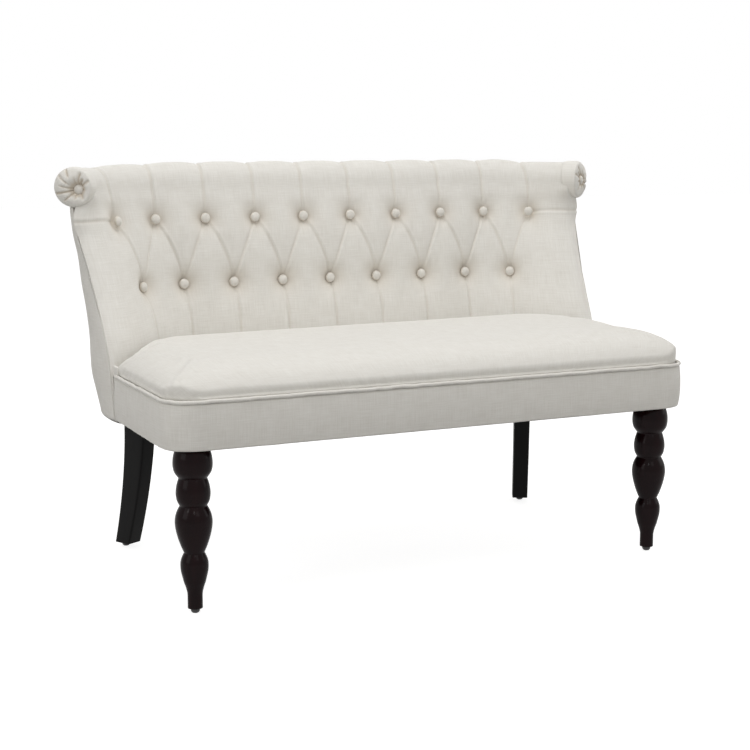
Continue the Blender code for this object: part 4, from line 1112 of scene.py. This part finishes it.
# How far points lie outside the roll's own tufting plane, with the direction outward there
def beyond_roll(x, y):
    along = np.linspace(0, float(ROLL_PLAN.length[0]), 240)
    base_x, base_y = ROLL_PLAN.point(along, 0.0)
    out_x, out_y = ROLL_PLAN.point(along, 1.0)
    nearest = np.argmin((x[:, None] - base_x) ** 2 + (y[:, None] - base_y) ** 2, axis=1)
    normal_x, normal_y = (out_x - base_x)[nearest], (out_y - base_y)[nearest]
    gap = (x - base_x[nearest]) * normal_x + (y - base_y[nearest]) * normal_y
    return gap, normal_x, normal_y


def lay_cover(across, up):
    place = 2 * across - 1
    side = np.where(place < 0, -1.0, 1.0)
    share, hem = share_of(np.abs(place), 0, 0.95), share_of(np.abs(place), 0.95, 1.0) * math.pi / 2
    bend = share_of(share, COVER_FLAT_SHARE, 1.0)
    z = COVER_FRONT_Z + up * (COVER_TOP_Z + COVER_OVERLAP - COVER_FRONT_Z)
    for step in range(4):
        rear, centre_x, radius, turn = cover_plan(z)
        angle = turn * bend
        y = rear - radius * (1 - np.cos(angle))
        slope = 1 - eased(share_of(y, 0.060, 0.235))
        foot = COVER_REAR_Z + slope * (COVER_FRONT_Z - COVER_REAR_Z)
        lip = 1 - 0.6 * eased(share_of(bend, 0.55, 1.0))
        rise = share_of(up, COVER_LIP_SHARE, 1.0)
        low = foot + COVER_LIP_RISE * lip
        z = low + rise * (COVER_TOP_Z + COVER_OVERLAP - low)
    roll = (1 - share_of(up, 0, COVER_LIP_SHARE)) * math.pi / 2
    turned = COVER_HEM + (COVER_TOP_HEM - COVER_HEM) * eased(share_of(z, 0.655, 0.690))
    inset = COVER_LIP * lip * (1 - np.cos(roll)) + turned * (1 - np.cos(hem))
    z = z - COVER_LIP_RISE * lip * np.sin(roll)
    ahead = turned * (np.sin(hem) - 1) * share_of(bend, 0.9, 1.0)
    x = np.where(bend > 0, centre_x, centre_x * share / COVER_FLAT_SHARE)
    x = x + (radius - inset) * np.sin(angle) + ahead * np.cos(angle)
    y = rear - radius + (radius - inset) * np.cos(angle) - ahead * np.sin(angle)
    gap, normal_x, normal_y = beyond_roll(x, y)
    tuck = np.maximum(0, gap - COVER_TUCK) * eased(share_of(z, 0.600, ROLL_FOOT_Z))
    return (side * (x - normal_x * tuck), y - normal_y * tuck, z), (place * 0.75, z)


cover_mesh = cloth_grid("outside_cover", 200, 84, lay_cover)
cover_mesh.flip_normals()
cover = add_piece("outside_cover", cover_mesh, linen, "linen", "outside_cover")
thicken(cover, 0.0025)
print("outside cover", len(cover_mesh.polygons), "faces")

# %% [markdown]
# ## The seat cushion
#
# The seat is a tight foam cushion under linen. Its side swells over the welt, its front
# shoulder is large and soft, and its top domes up towards the middle. The outline follows
# the seat's front and sides, and at the rear it follows the tufted back.
#
# The cushion starts as rings that shrink from that outline up over the dome. A voxel
# remesh then makes even squares of it, which is what a cloth simulation likes best.

# %% Outline of the cushion
CROWN_HEIGHT = 0.061
SHOULDER_HEIGHT = 0.020
SWELL_WIDTH = 0.160
SWELL_POWER = 6.5
BACK_CLEARANCE = 0.0012
CORNER_SETBACK = 0.026


def seat_side(inset, rear_y, corner_steps=24):
    radius = SEAT_CORNER_RADIUS - inset
    turn = np.linspace(0, math.pi / 2, corner_steps + 1)
    x = HALF_SEAT - SEAT_CORNER_RADIUS + radius * np.cos(turn)
    y = FRONT_Y + SEAT_CORNER_RADIUS - radius * np.sin(turn)
    return np.column_stack([np.append(HALF_SEAT - inset, x), np.append(rear_y, y)])


# The same path with points at even steps
def evenly(points, count):
    run = np.concatenate([[0], np.cumsum(np.hypot(*np.diff(points, axis=0).T[:2]))])
    marks = np.linspace(0, run[-1], count)
    return np.column_stack([np.interp(marks, run, column) for column in points.T])


def cushion_outline():
    plan = Plan(np.array([PAD_FOOT_Z]))
    share = np.linspace(0, 0.985, 120)
    along = share * float(plan.length[0])
    foot = np.full(along.shape, PAD_FOOT_Z)
    gap = padding_at(along) - tuft_depth(along, foot) + BACK_CLEARANCE
    x, y = plan.point(along, -gap)
    edge_x, edge_y = wing_edge(PAD_FOOT_Z)
    tip = np.array([edge_x, edge_y]) + WING_HEADING * BACK_CLEARANCE
    tip = tip - WING_OUTWARD * (float(plan.depth[0]) + WING_PADDING)
    side = seat_side(0, edge_y - CORNER_SETBACK)
    turn = np.linspace(0, math.pi / 2, 9)[1:-1]
    corner = tip + (side[0] - tip) * np.column_stack([np.sin(turn), 1 - np.cos(turn)])
    right = np.vstack([np.column_stack([x, y]), tip, corner, side, (0.0, FRONT_Y)])
    return np.vstack([right, right[-2:0:-1] * (-1, 1)])


# Height of the cushion's top: flat-ended swells from the sides and the front, and a slope
# down towards the back
def crown_z(x, y):
    side_power = SWELL_POWER + 3.0 * np.maximum(x, 0)
    swell = 1 - (1 - share_of(HALF_SEAT - np.abs(x), 0, SWELL_WIDTH)) ** side_power
    swell = swell * (1 - (1 - share_of(y - FRONT_Y, 0, SWELL_WIDTH)) ** SWELL_POWER)
    fall = 0.32 * (np.maximum(0, y - 0.050) / 0.115) ** 2
    low = PAD_FOOT_Z + SHOULDER_HEIGHT
    return low + (CROWN_HEIGHT - SHOULDER_HEIGHT) * swell * (1 - fall) * (1 + 0.18 * x)


whole_outline = cushion_outline()
OUTLINE = evenly(np.vstack([whole_outline, whole_outline[:1]]), 361)
print("cushion outline", round(float(np.hypot(*np.diff(OUTLINE, axis=0).T).sum()), 3), "m round")

# %% Rings of the cushion
CUSHION_REACH_Y = 0.2565
CUSHION_CENTRE_Y = FRONT_Y + CUSHION_REACH_Y
LAST_INSET = 0.250
SIDE_INSETS = (LAST_INSET, 0.030, 0.0080, 0.0073, 0.0060, 0.0030, 0.0016, 0.0020)
SIDE_HEIGHTS = (0.0, 0.0, 0.0, 0.0030, 0.0072, 0.0110, 0.0155, SHOULDER_HEIGHT)
TOP_RINGS = 33
SHRINK = 0.0020


def lay_cushion(across, up):
    outer_x = np.interp(across * 360, np.arange(361), OUTLINE[:, 0])
    outer_y = np.interp(across * 360, np.arange(361), OUTLINE[:, 1])
    run_x, run_y = outer_x / HALF_SEAT, (outer_y - CUSHION_CENTRE_Y) / CUSHION_REACH_Y
    size = np.maximum(np.abs(run_x), np.abs(run_y))
    open_side = 1 - share_of(outer_y, float(wing_edge(PAD_FOOT_Z)[1]), BACK_FOOT_Y)
    row = up * (TOP_RINGS + 7)
    side_inset = np.interp(row, np.arange(8), SIDE_INSETS)
    side_inset = np.where(side_inset > 0.01, side_inset, side_inset * open_side)
    rise = share_of(row, 7, TOP_RINGS + 7)
    top_inset = SIDE_INSETS[-1] * open_side * (1 - rise) + rise ** 1.5 * LAST_INSET
    inset = np.where(row <= 7, side_inset, top_inset) + SHRINK
    x, y = outer_x - run_x / size * inset, outer_y - run_y / size * inset
    z = PAD_FOOT_Z + np.interp(row, np.arange(8), SIDE_HEIGHTS)
    return (x, y, np.where(row <= 7, z, crown_z(x, y) - SHRINK)), (x, y)


cushion_mesh = close_up(cloth_grid("seat_cushion", 360, TOP_RINGS + 7, lay_cushion))
cushion = add_piece("seat_cushion", cushion_mesh, linen, "linen", "seat_cushion")
print("seat cushion", len(cushion_mesh.polygons), "faces")

# %% [markdown]
# The remeshed cushion has lost its UV map, so a new one is laid over it: across the seat,
# and from front to rear with the height folded in, so that the weave runs on down the
# front and the sides. The lowest part stays pinned on the deck, the rest may swell. At the
# end a row of small puckers is pressed in above the welt, where the seam gathers the cloth.

# %% Remesh, settle and pucker the cushion
REMESH = 0.0055
PUCKER = 0.0007
TOP_UNEVENNESS = 0.0006


def even_squares(piece):
    grid = piece.modifiers.new("Even squares", "REMESH")
    grid.mode = "VOXEL"
    grid.voxel_size = REMESH
    grid.use_smooth_shade = True
    return applied(piece)


def cushion_cloth(places):
    x, y, z = places.T
    drop = z - (PAD_FOOT_Z + CROWN_HEIGHT)
    return np.column_stack([x - drop * np.clip(x / 0.40, -1, 1), y + drop])


cushion_mesh = even_squares(cushion)
map_cloth(cushion_mesh, cushion_cloth(points_of(cushion_mesh)))
places = points_of(cushion_mesh)
low = share_of(PAD_FOOT_Z + 0.012 - places[:, 2], 0, 0.006)
rear = share_of(places[:, 1], 0.02, 0.06) * share_of(0.43 - places[:, 2], 0, 0.01)
simulate(cushion, np.maximum(low, rear), pressure=4.0, slack=0.002, cap=0.005)
subdivided(cushion, 1)
cushion_mesh = applied(cushion)
places = points_of(cushion_mesh)
map_cloth(cushion_mesh, cushion_cloth(places))
low = np.exp(-((places[:, 2] - PAD_FOOT_Z - 0.016) / 0.012) ** 2)
outer = share_of(np.maximum(np.abs(places[:, 0]) / HALF_SEAT, places[:, 1] / FRONT_Y), 0.90, 0.97)
wave = ripple(places * (1, 1, 0.3), 0.016) + 0.6 * ripple(places * (1, 1, 0.3), 0.006, 3.0)
soft = ripple(places, 0.085, 9.0)
move = PUCKER * wave * low * outer + TOP_UNEVENNESS * soft * share_of(places[:, 2], 0.40, 0.43)
set_points(cushion_mesh, places + points_of(cushion_mesh, "normal") * move[:, None])
cushion_mesh.materials.clear()
cushion_mesh.materials.append(linen)
cushion_mesh.shade_smooth()
print("seat cushion", len(cushion_mesh.polygons), "faces")

# %% [markdown]
# ## The band and its welt
#
# Under the cushion a straight band of linen is pulled round the seat frame and tacked
# underneath. It is not quite flat: it sags and puckers a little, most near the corners.
# A welt, which is a cord covered in the same linen, hides the seam on top of it. The band
# is a grid that runs along the seat one way and round its own section the other way.

# %% Seat band
BAND_REAR_Y = REAR_Y - WING_SETBACKS[0] - 0.006
# Inset and height of the band's cloth, from its tacked lower edge to the seam on top
BAND_SECTION = (
    (0.0090, SEAT_BOTTOM_Z + 0.0020), (0.0050, SEAT_BOTTOM_Z), (0.0022, SEAT_BOTTOM_Z + 0.0004),
    (0.0006, SEAT_BOTTOM_Z + 0.0026), (0.0, SEAT_BOTTOM_Z + 0.0070), (-0.0014, SEAT_BOTTOM_Z + 0.0200),
    (-0.0020, SEAT_BOTTOM_Z + 0.0400), (-0.0014, SEAT_BOTTOM_Z + 0.0600), (0.0, DECK_TOP_Z - 0.0050),
    (0.0012, DECK_TOP_Z - 0.0015), (0.0030, DECK_TOP_Z), (0.0090, DECK_TOP_Z),
)


def seat_path(inset, rear_y, count):
    right = seat_side(inset, rear_y)
    whole = np.vstack([right * (-1, 1), right[::-1]])
    return evenly(whole, count)


def lay_band(across, up):
    path = seat_path(0.002, BAND_REAR_Y, 601)
    tangent = np.gradient(path, axis=0)
    tangent /= np.hypot(*tangent.T)[:, None]
    index = np.rint(across * 600).astype(int)
    section = np.array(BAND_SECTION)
    knots = np.arange(len(section), dtype=float)
    inset = read_smooth(knots, section[:, 0], up * knots[-1])
    z = read_smooth(knots, section[:, 1], up * knots[-1])
    normal = np.column_stack([tangent[:, 1], -tangent[:, 0]])[index]
    x, y = (path[index] - normal * inset[:, None]).T
    run = across * float(np.hypot(*np.diff(path, axis=0).T).sum())
    spots = np.column_stack([x, y, z])
    face = share_of(z, SEAT_BOTTOM_Z + 0.001, SEAT_BOTTOM_Z + 0.02) * share_of(DECK_TOP_Z - z, 0, 0.012)
    near_foot = np.exp(-((z - SEAT_BOTTOM_Z) / 0.022) ** 2)
    slack = ripple(spots * (1, 1, 0.35), 0.055, 1.0) * 0.0016 + ripple(spots * (1, 1, 0.45), 0.020, 5.0) * 0.0006
    puckers = ripple(spots * (1, 1, 0.20), 0.011, 7.0) * 0.0009 * near_foot
    bulge = (slack * face + puckers) * (inset < 0.004)
    x, y = x + normal[:, 0] * bulge, y + normal[:, 1] * bulge
    z = z + ripple(spots * (1, 1, 0), 0.040, 2.0) * 0.0008 * near_foot
    return (x, y, z), (run, z)


band_mesh = cloth_grid("seat_band", 600, 44, lay_band)
band = add_piece("seat_band", band_mesh, linen, "linen", "seat_band")
thicken(band, 0.0015)
print("seat band", len(band_mesh.polygons), "faces")

# %% [markdown]
# Every welt is a round cord along a path, so one helper makes them all: a grid rolled
# round the path, welded along its seam and closed at its ends. A slight wave keeps the
# welt from looking machined.

# %% Welts
WELT_RADIUS = 0.0035
WING_WELT_RADIUS = 0.0018
WING_WELT_BACK = 0.0016
WING_WELT_IN = 0.0044
AROUND_WELT = 14


def rolled_cord(name, path, radius, wave=0.0, taper=0.0, up=(0, 0, 1)):
    path = np.asarray(path, float)
    tangent = np.gradient(path, axis=0)
    tangent /= np.linalg.norm(tangent, axis=1)[:, None]
    side = np.cross(tangent, up)
    side /= np.linalg.norm(side, axis=1)[:, None]
    above = np.cross(side, tangent)
    sway = wave * ripple(path, 0.030, 4.0) + 0.5 * wave * ripple(path, 0.009, 8.0)
    run = np.concatenate([[0], np.cumsum(np.linalg.norm(np.diff(path, axis=0), axis=1))])
    size = radius * (1 - taper * share_of(run, run[-1] - 3 * radius, run[-1]) ** 2)

    def lay(across, up):
        index = np.rint(across * (len(path) - 1)).astype(int)
        angle = up * 2 * math.pi
        ring = side[index] * np.cos(angle)[:, None] + above[index] * np.sin(angle)[:, None]
        spots = path[index] + ring * size[index, None] + above[index] * sway[index, None]
        return tuple(spots.T), (run[index], up * 2 * math.pi * radius)

    return close_up(cloth_grid(name, len(path) - 1, AROUND_WELT, lay))


def seat_welt_path():
    path = seat_path(WELT_RADIUS, BAND_REAR_Y - 0.001, 520)
    height = np.full(len(path), DECK_TOP_Z + CONTACT_GAP + WELT_RADIUS)
    return np.column_stack([path, height])


def wing_welt_path(side):
    z = np.linspace(ROLL_FOOT_Z + 0.004, COVER_FRONT_Z, 140)
    plan = Plan(z)
    x = plan.edge_x - WING_HEADING[0] * WING_WELT_BACK - WING_OUTWARD[0] * WING_WELT_IN
    y = plan.edge_y - WING_HEADING[1] * WING_WELT_BACK - WING_OUTWARD[1] * WING_WELT_IN
    return np.column_stack([side * x, y, z])


cord = rolled_cord("seat_welt", seat_welt_path(), WELT_RADIUS, wave=0.0012)
welt = add_piece("seat_welt", cord, linen, "linen", "seat_welt")
for side, name in ENDS:
    node = "wing_welt_" + name
    cord = rolled_cord(node, wing_welt_path(side), WING_WELT_RADIUS, wave=0.0003, taper=0.6, up=(0, 1, 0))
    add_piece(node, cord, linen, "linen", node)
print("seat welt", len(welt.data.polygons), "faces")

# %% [markdown]
# A narrow facing closes the wing down to the seat band. It runs on forward and up behind
# the cushion's corner, where it is tacked, so that no frame shows in the gap. It is a
# block with its edges bevelled round, as cloth over card is.

# %% Wing facings
FACING_REACH = 0.010
FACING_RISE = 0.022
FACING_EDGE = 0.0022


def soft_block(name, low, high):
    bm = bmesh.new()
    bmesh.ops.create_cube(bm, size=1)
    bmesh.ops.scale(bm, vec=high - low, verts=bm.verts)
    bmesh.ops.translate(bm, vec=(low + high) / 2, verts=bm.verts)
    bmesh.ops.bevel(
        bm, geom=bm.edges[:], offset=FACING_EDGE, offset_type="OFFSET", segments=3, profile=0.5,
        affect="EDGES", material=-1,
    )
    return mesh_from(bm, name)


for side, name in ENDS:
    node = "wing_facing_" + name
    low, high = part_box(node)
    mesh = soft_block(node, low + Vector((0, -FACING_REACH, 0)), high + Vector((0, 0, FACING_RISE)))
    map_cloth(mesh, points_of(mesh)[:, 1:3])
    add_piece(node, mesh, linen, "linen", node)
print("wing facings", len(mesh.polygons), "faces each")

# %% [markdown]
# ## Timber, paint and metal
#
# The front legs are turned hardwood under a dark, almost black mahogany stain with a
# clear gloss coat. The rear legs are painted satin black. Inside, the rails and posts are
# plain sawn wood. Grain runs along each piece: a noise stretched along the grain gives the
# pores, and a slower one the darker bands.

# %% Grain node group
def build_grain():
    group, start, end = group_of(
        "wood grain",
        (("Place", "NodeSocketVector", None), ("Fine", "NodeSocketFloat", 1.0)),
        (("Band", "NodeSocketFloat"), ("Pore", "NodeSocketFloat")),
    )
    place = start.outputs["Place"]
    band = stretched_noise(group, place, (55, 55, 5), detail=3.0)
    pore = stretched_noise(group, place, (900, 900, 45), detail=2.0)
    group.links.new(band, end.inputs["Band"])
    group.links.new(math_node(group, "MULTIPLY", pore, start.outputs["Fine"]), end.inputs["Pore"])
    return group


grain = build_grain()


def wood_material(name, light, dark, rough, coat=0.0, turn=(0, 0, 0), pores=0.15, spread=1.6, shine=0.5):
    material, nodes, links, shader = new_material(name)
    tree = material.node_tree
    place = nodes.new("ShaderNodeTexCoord")
    mapping = nodes.new("ShaderNodeMapping")
    mapping.inputs["Rotation"].default_value = [math.radians(value) for value in turn]
    links.new(place.outputs["Object"], mapping.inputs["Vector"])
    fibres = nodes.new("ShaderNodeGroup")
    fibres.node_tree = grain
    links.new(mapping.outputs[0], fibres.inputs["Place"])
    tone = math_node(tree, "MULTIPLY_ADD", fibres.outputs["Band"], spread, 0.5 - spread / 2)
    tone = math_node(tree, "ADD", tone, math_node(tree, "MULTIPLY_ADD", fibres.outputs["Pore"], 0.5, -0.25))
    tone = math_node(tree, "MAXIMUM", math_node(tree, "MINIMUM", tone, 1.0), 0.0)
    links.new(mix_colour(tree, tone, dark, light), shader.inputs["Base Color"])
    links.new(math_node(tree, "MULTIPLY_ADD", fibres.outputs["Pore"], 0.12, rough - 0.06), shader.inputs["Roughness"])
    links.new(bump(tree, fibres.outputs["Pore"], pores, 0.0004), shader.inputs["Normal"])
    shader.inputs["Specular IOR Level"].default_value = shine
    if coat:
        shader.inputs["Coat Weight"].default_value = coat
        shader.inputs["Coat Roughness"].default_value = 0.15
    return material


mahogany = wood_material(
    "dark mahogany gloss", (0.013, 0.0036, 0.0044), (0.004, 0.0014, 0.0018), 0.30, coat=0.14, shine=0.02,
)
black_paint = wood_material(
    "black satin paint", (0.010, 0.0095, 0.0095), (0.006, 0.006, 0.006), 0.42, pores=0.10, shine=0.07,
)
sawn_up, sawn_across, sawn_deep = (
    wood_material("sawn hardwood " + way, (0.60, 0.44, 0.27), (0.42, 0.28, 0.15), 0.75, turn=turn)
    for way, turn in (("upright", (0, 0, 0)), ("level", (0, 90, 0)), ("front to rear", (90, 0, 0)))
)
deck_ply = wood_material("deck plywood", (0.56, 0.44, 0.29), (0.44, 0.33, 0.20), 0.8, turn=(0, 90, 0))
print("timber", mahogany.name, black_paint.name, sawn_up.name, deck_ply.name)

# %% [markdown]
# Metal and plastic are simpler: a fine noise varies the roughness of the zinc on the
# bolts and of the moulded glides.

# %% Zinc and moulded plastic
def speckled_material(name, light, dark, rough, metal=0.0, size=700):
    material, nodes, links, shader = new_material(name)
    tree = material.node_tree
    place = nodes.new("ShaderNodeTexCoord")
    speckle = stretched_noise(tree, place.outputs["Object"], (size, size, size), detail=3.0)
    links.new(mix_colour(tree, speckle, dark, light), shader.inputs["Base Color"])
    links.new(math_node(tree, "MULTIPLY_ADD", speckle, 0.2, rough - 0.1), shader.inputs["Roughness"])
    links.new(bump(tree, speckle, 0.12, 0.0002), shader.inputs["Normal"])
    shader.inputs["Metallic"].default_value = metal
    return material


zinc = speckled_material("zinc plate", (0.66, 0.66, 0.68), (0.48, 0.49, 0.52), 0.36, metal=1.0, size=320)
glide_black = speckled_material("black moulded plastic", (0.030, 0.030, 0.030), (0.018, 0.018, 0.018), 0.38)
print("hard materials", zinc.name, glide_black.name)

# %% [markdown]
# ## The front legs
#
# Each front leg is turned on a lathe: two beads under the seat, a long baluster, and a
# vase that runs down to a slim ankle. The same thing in Blender is a profile spun round the
# leg's axis. Each turning is a smooth curve of its own through its radii and heights, and
# neighbours meet in a sharp groove, as the lathe's chisel leaves them.

# %% Turned front legs
GLIDE_HEIGHT = 0.009
LEG_PROFILE = (
    ((0.0290, 0.2907), (0.0318, 0.2820), (0.0340, 0.2737), (0.0351, 0.2640), (0.0349, 0.2560),
     (0.0336, 0.2490), (0.0312, 0.2435), (0.0250, 0.2350)),
    ((0.0250, 0.2350), (0.0270, 0.2290), (0.0288, 0.2225), (0.0301, 0.2153), (0.0306, 0.2075),
     (0.0299, 0.2003), (0.0282, 0.1934), (0.0240, 0.1855)),
    ((0.0240, 0.1855), (0.0277, 0.1788), (0.0308, 0.1715), (0.0325, 0.1642), (0.0332, 0.1569),
     (0.0328, 0.1496), (0.0317, 0.1423), (0.0302, 0.1350), (0.0282, 0.1277), (0.0259, 0.1204),
     (0.0233, 0.1131), (0.0203, 0.1060), (0.0180, 0.1010)),
    ((0.0180, 0.1010), (0.0207, 0.0955), (0.0230, 0.0900), (0.0246, 0.0835), (0.0249, 0.0766),
     (0.0244, 0.0693), (0.0230, 0.0620), (0.0212, 0.0547), (0.0194, 0.0474), (0.0168, 0.0401),
     (0.0148, 0.0328), (0.0135, 0.0255), (0.0134, 0.0120), (0.0134, 0.0)),
)


# The whole profile, brought to the leg's length between the seat and the glide
def leg_outline():
    outline = []
    scale = (SEAT_BOTTOM_Z - CONTACT_GAP - GLIDE_HEIGHT) / LEG_PROFILE[0][0][1]
    for turning in LEG_PROFILE:
        radii, heights = np.array(turning).T
        knots = np.arange(len(radii), dtype=float)
        marks = np.linspace(0, knots[-1], 6 * len(knots))
        radii, heights = read_smooth(knots, radii, marks), read_smooth(knots, heights, marks)
        heights = np.clip(GLIDE_HEIGHT + heights * scale, GLIDE_HEIGHT, SEAT_BOTTOM_Z - CONTACT_GAP)
        outline += [(float(radius), float(height)) for radius, height in zip(radii, heights)]
    return [(0.0, outline[0][1])] + outline + [(0.0, GLIDE_HEIGHT)]


for side, name in ENDS:
    node = "front_leg_" + name
    spot = centre_of(node)
    mesh = spun(node, leg_outline(), 72)
    mesh.transform(Matrix.Translation((spot.x, spot.y, 0)))
    add_piece(node, mesh, mahogany, "dark_wood", node)
print("front legs", len(mesh.polygons), "faces each")

# %% [markdown]
# ## The rear legs
#
# The rear legs are sawn square, taper a little and sweep backward like a sabre. A grid
# rolled round the swept centre line gives that, with the section's corners eased.

# %% Sabre rear legs
REAR_LEG_TOP_Z = 0.280
REAR_LEG_SPLAY = math.radians(28)
REAR_LEG_SWEEP = 0.043
REAR_LEG_HEAD = (0.447, 0.165)
REAR_LEG_WIDE, REAR_LEG_WIDE_LOSS = 0.018, 0.0008
REAR_LEG_DEEP, REAR_LEG_DEEP_LOSS = 0.0288, 0.0090
REAR_LEG_FORWARD = 0.0053
CORNER_POWER = 0.16


def sabre_leg(name, side):
    def lay(across, up):
        z = REAR_LEG_TOP_Z - across * (REAR_LEG_TOP_Z - GLIDE_HEIGHT)
        sweep = REAR_LEG_SWEEP * across ** 1.8
        wide = REAR_LEG_WIDE - across * REAR_LEG_WIDE_LOSS
        deep = REAR_LEG_DEEP - across * REAR_LEG_DEEP_LOSS
        angle = up * 2 * math.pi
        ring_x = wide * np.sign(np.cos(angle)) * np.abs(np.cos(angle)) ** CORNER_POWER
        ring_y = deep * np.sign(np.sin(angle)) * np.abs(np.sin(angle)) ** CORNER_POWER
        sine, cosine = math.sin(REAR_LEG_SPLAY), math.cos(REAR_LEG_SPLAY)
        local_y = sweep + ring_y - REAR_LEG_FORWARD
        x = REAR_LEG_HEAD[0] + ring_x * cosine + local_y * sine
        y = REAR_LEG_HEAD[1] - ring_x * sine + local_y * cosine
        return (side * x, y, z), (up * 0.15, z)
    return close_up(cloth_grid(name, 40, 64, lay))


for side, name in ENDS:
    mesh = sabre_leg("rear_leg_" + name, side)
    add_piece("rear_leg_" + name, mesh, black_paint, "black_wood", "rear_leg_" + name)
    mesh.set_sharp_from_angle(angle=math.radians(50))
print("rear legs", len(mesh.polygons), "faces each")

# %% [markdown]
# ## The glides
#
# A moulded plastic glide is nailed under each foot, so that the leg slides without marking
# the floor. It is a low button shape, turned like the legs.

# %% Glides
GLIDE_PROFILE = (
    (0.0, 0.0090), (0.0080, 0.0088), (0.0084, 0.0080), (0.0084, 0.0056), (0.0080, 0.0036),
    (0.0071, 0.0017), (0.0060, 0.0006), (0.0050, 0.0), (0.0, 0.0),
)
for end in ("front", "rear"):
    for side, name in ENDS:
        node = "glide_%s_%s" % (end, name)
        spot = centre_of(node)
        mesh = spun(node, GLIDE_PROFILE, 40)
        mesh.transform(Matrix.Translation((spot.x, spot.y, 0)))
        add_piece(node, mesh, glide_black, "glide_plastic", node)
print("glides", len(mesh.polygons), "faces each")

# %% [markdown]
# ## Finishes on the frame
#
# The rails, posts, blocks, deck and bolts are plain shapes already, so they stay as CAD
# nodes and only get their finish. The grain of each is turned to run along the board.

# %% Frame finishes
FINISHES = (
    (sawn_up, ("back_post_left", "back_post_right", "wing_board_left", "wing_board_right",
               "back_centre_upright", "corner_block_front_left", "corner_block_front_right",
               "corner_block_rear_left", "corner_block_rear_right")),
    (sawn_across, ("seat_rail_front", "seat_rail_rear", "back_top_rail")),
    (sawn_deep, ("seat_rail_left", "seat_rail_right")),
    (deck_ply, ("seat_deck",)),
    (zinc, ("leg_bolt_front_left", "leg_bolt_front_right", "leg_bolt_rear_left", "leg_bolt_rear_right")),
)
for finish, nodes in FINISHES:
    for node in nodes:
        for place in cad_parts[node].material_slots:
            place.material = finish
print("frame finishes", sum(len(nodes) for finish, nodes in FINISHES))

# %% [markdown]
# ## The dust cover
#
# Black non-woven cloth is stapled under the seat to keep dust in. It is a stretched sheet,
# cut square round the front corner blocks and slanting round the rear ones. It is a flat
# grid that sags a hair between its staples.

# %% Dust cover
DUST_SQUARE = 0.04
DUST_SAG = 0.003


def build_dust_cover():
    low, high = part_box("dust_cover")
    bm = bmesh.new()
    bm.from_mesh(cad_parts["dust_cover"].data)
    bmesh.ops.remove_doubles(bm, verts=bm.verts, dist=WELD)
    upper = [face for face in bm.faces if face.normal.z > -0.5]
    bmesh.ops.delete(bm, geom=upper, context="FACES")
    bmesh.ops.dissolve_limit(bm, angle_limit=0.01, verts=bm.verts, edges=bm.edges)
    bmesh.ops.triangulate(bm, faces=bm.faces)
    for axis, way in ((0, Vector((1, 0, 0))), (1, Vector((0, 1, 0)))):
        for place in np.arange(low[axis] + DUST_SQUARE, high[axis], DUST_SQUARE):
            whole = bm.verts[:] + bm.edges[:] + bm.faces[:]
            bmesh.ops.bisect_plane(bm, geom=whole, plane_co=way * float(place), plane_no=way)
    area = sum(face.calc_area() for face in bm.faces)
    mesh = mesh_from(bm, "dust_cover")
    places = points_of(mesh)
    inner = share_of(0.5 - np.abs(places[:, 0]), 0, 0.15) * share_of(places[:, 1] - low.y, 0, 0.15)
    inner = inner * share_of(high.y - places[:, 1], 0, 0.15)
    places[:, 2] -= DUST_SAG * inner + 0.0006 * ripple(places, 0.05) * inner
    set_points(mesh, places)
    map_cloth(mesh, places[:, :2])
    cover = add_piece("dust_cover", mesh, dust_black, "dust_cloth", "dust_cover")
    thicken(cover, 0.0008)


build_dust_cover()
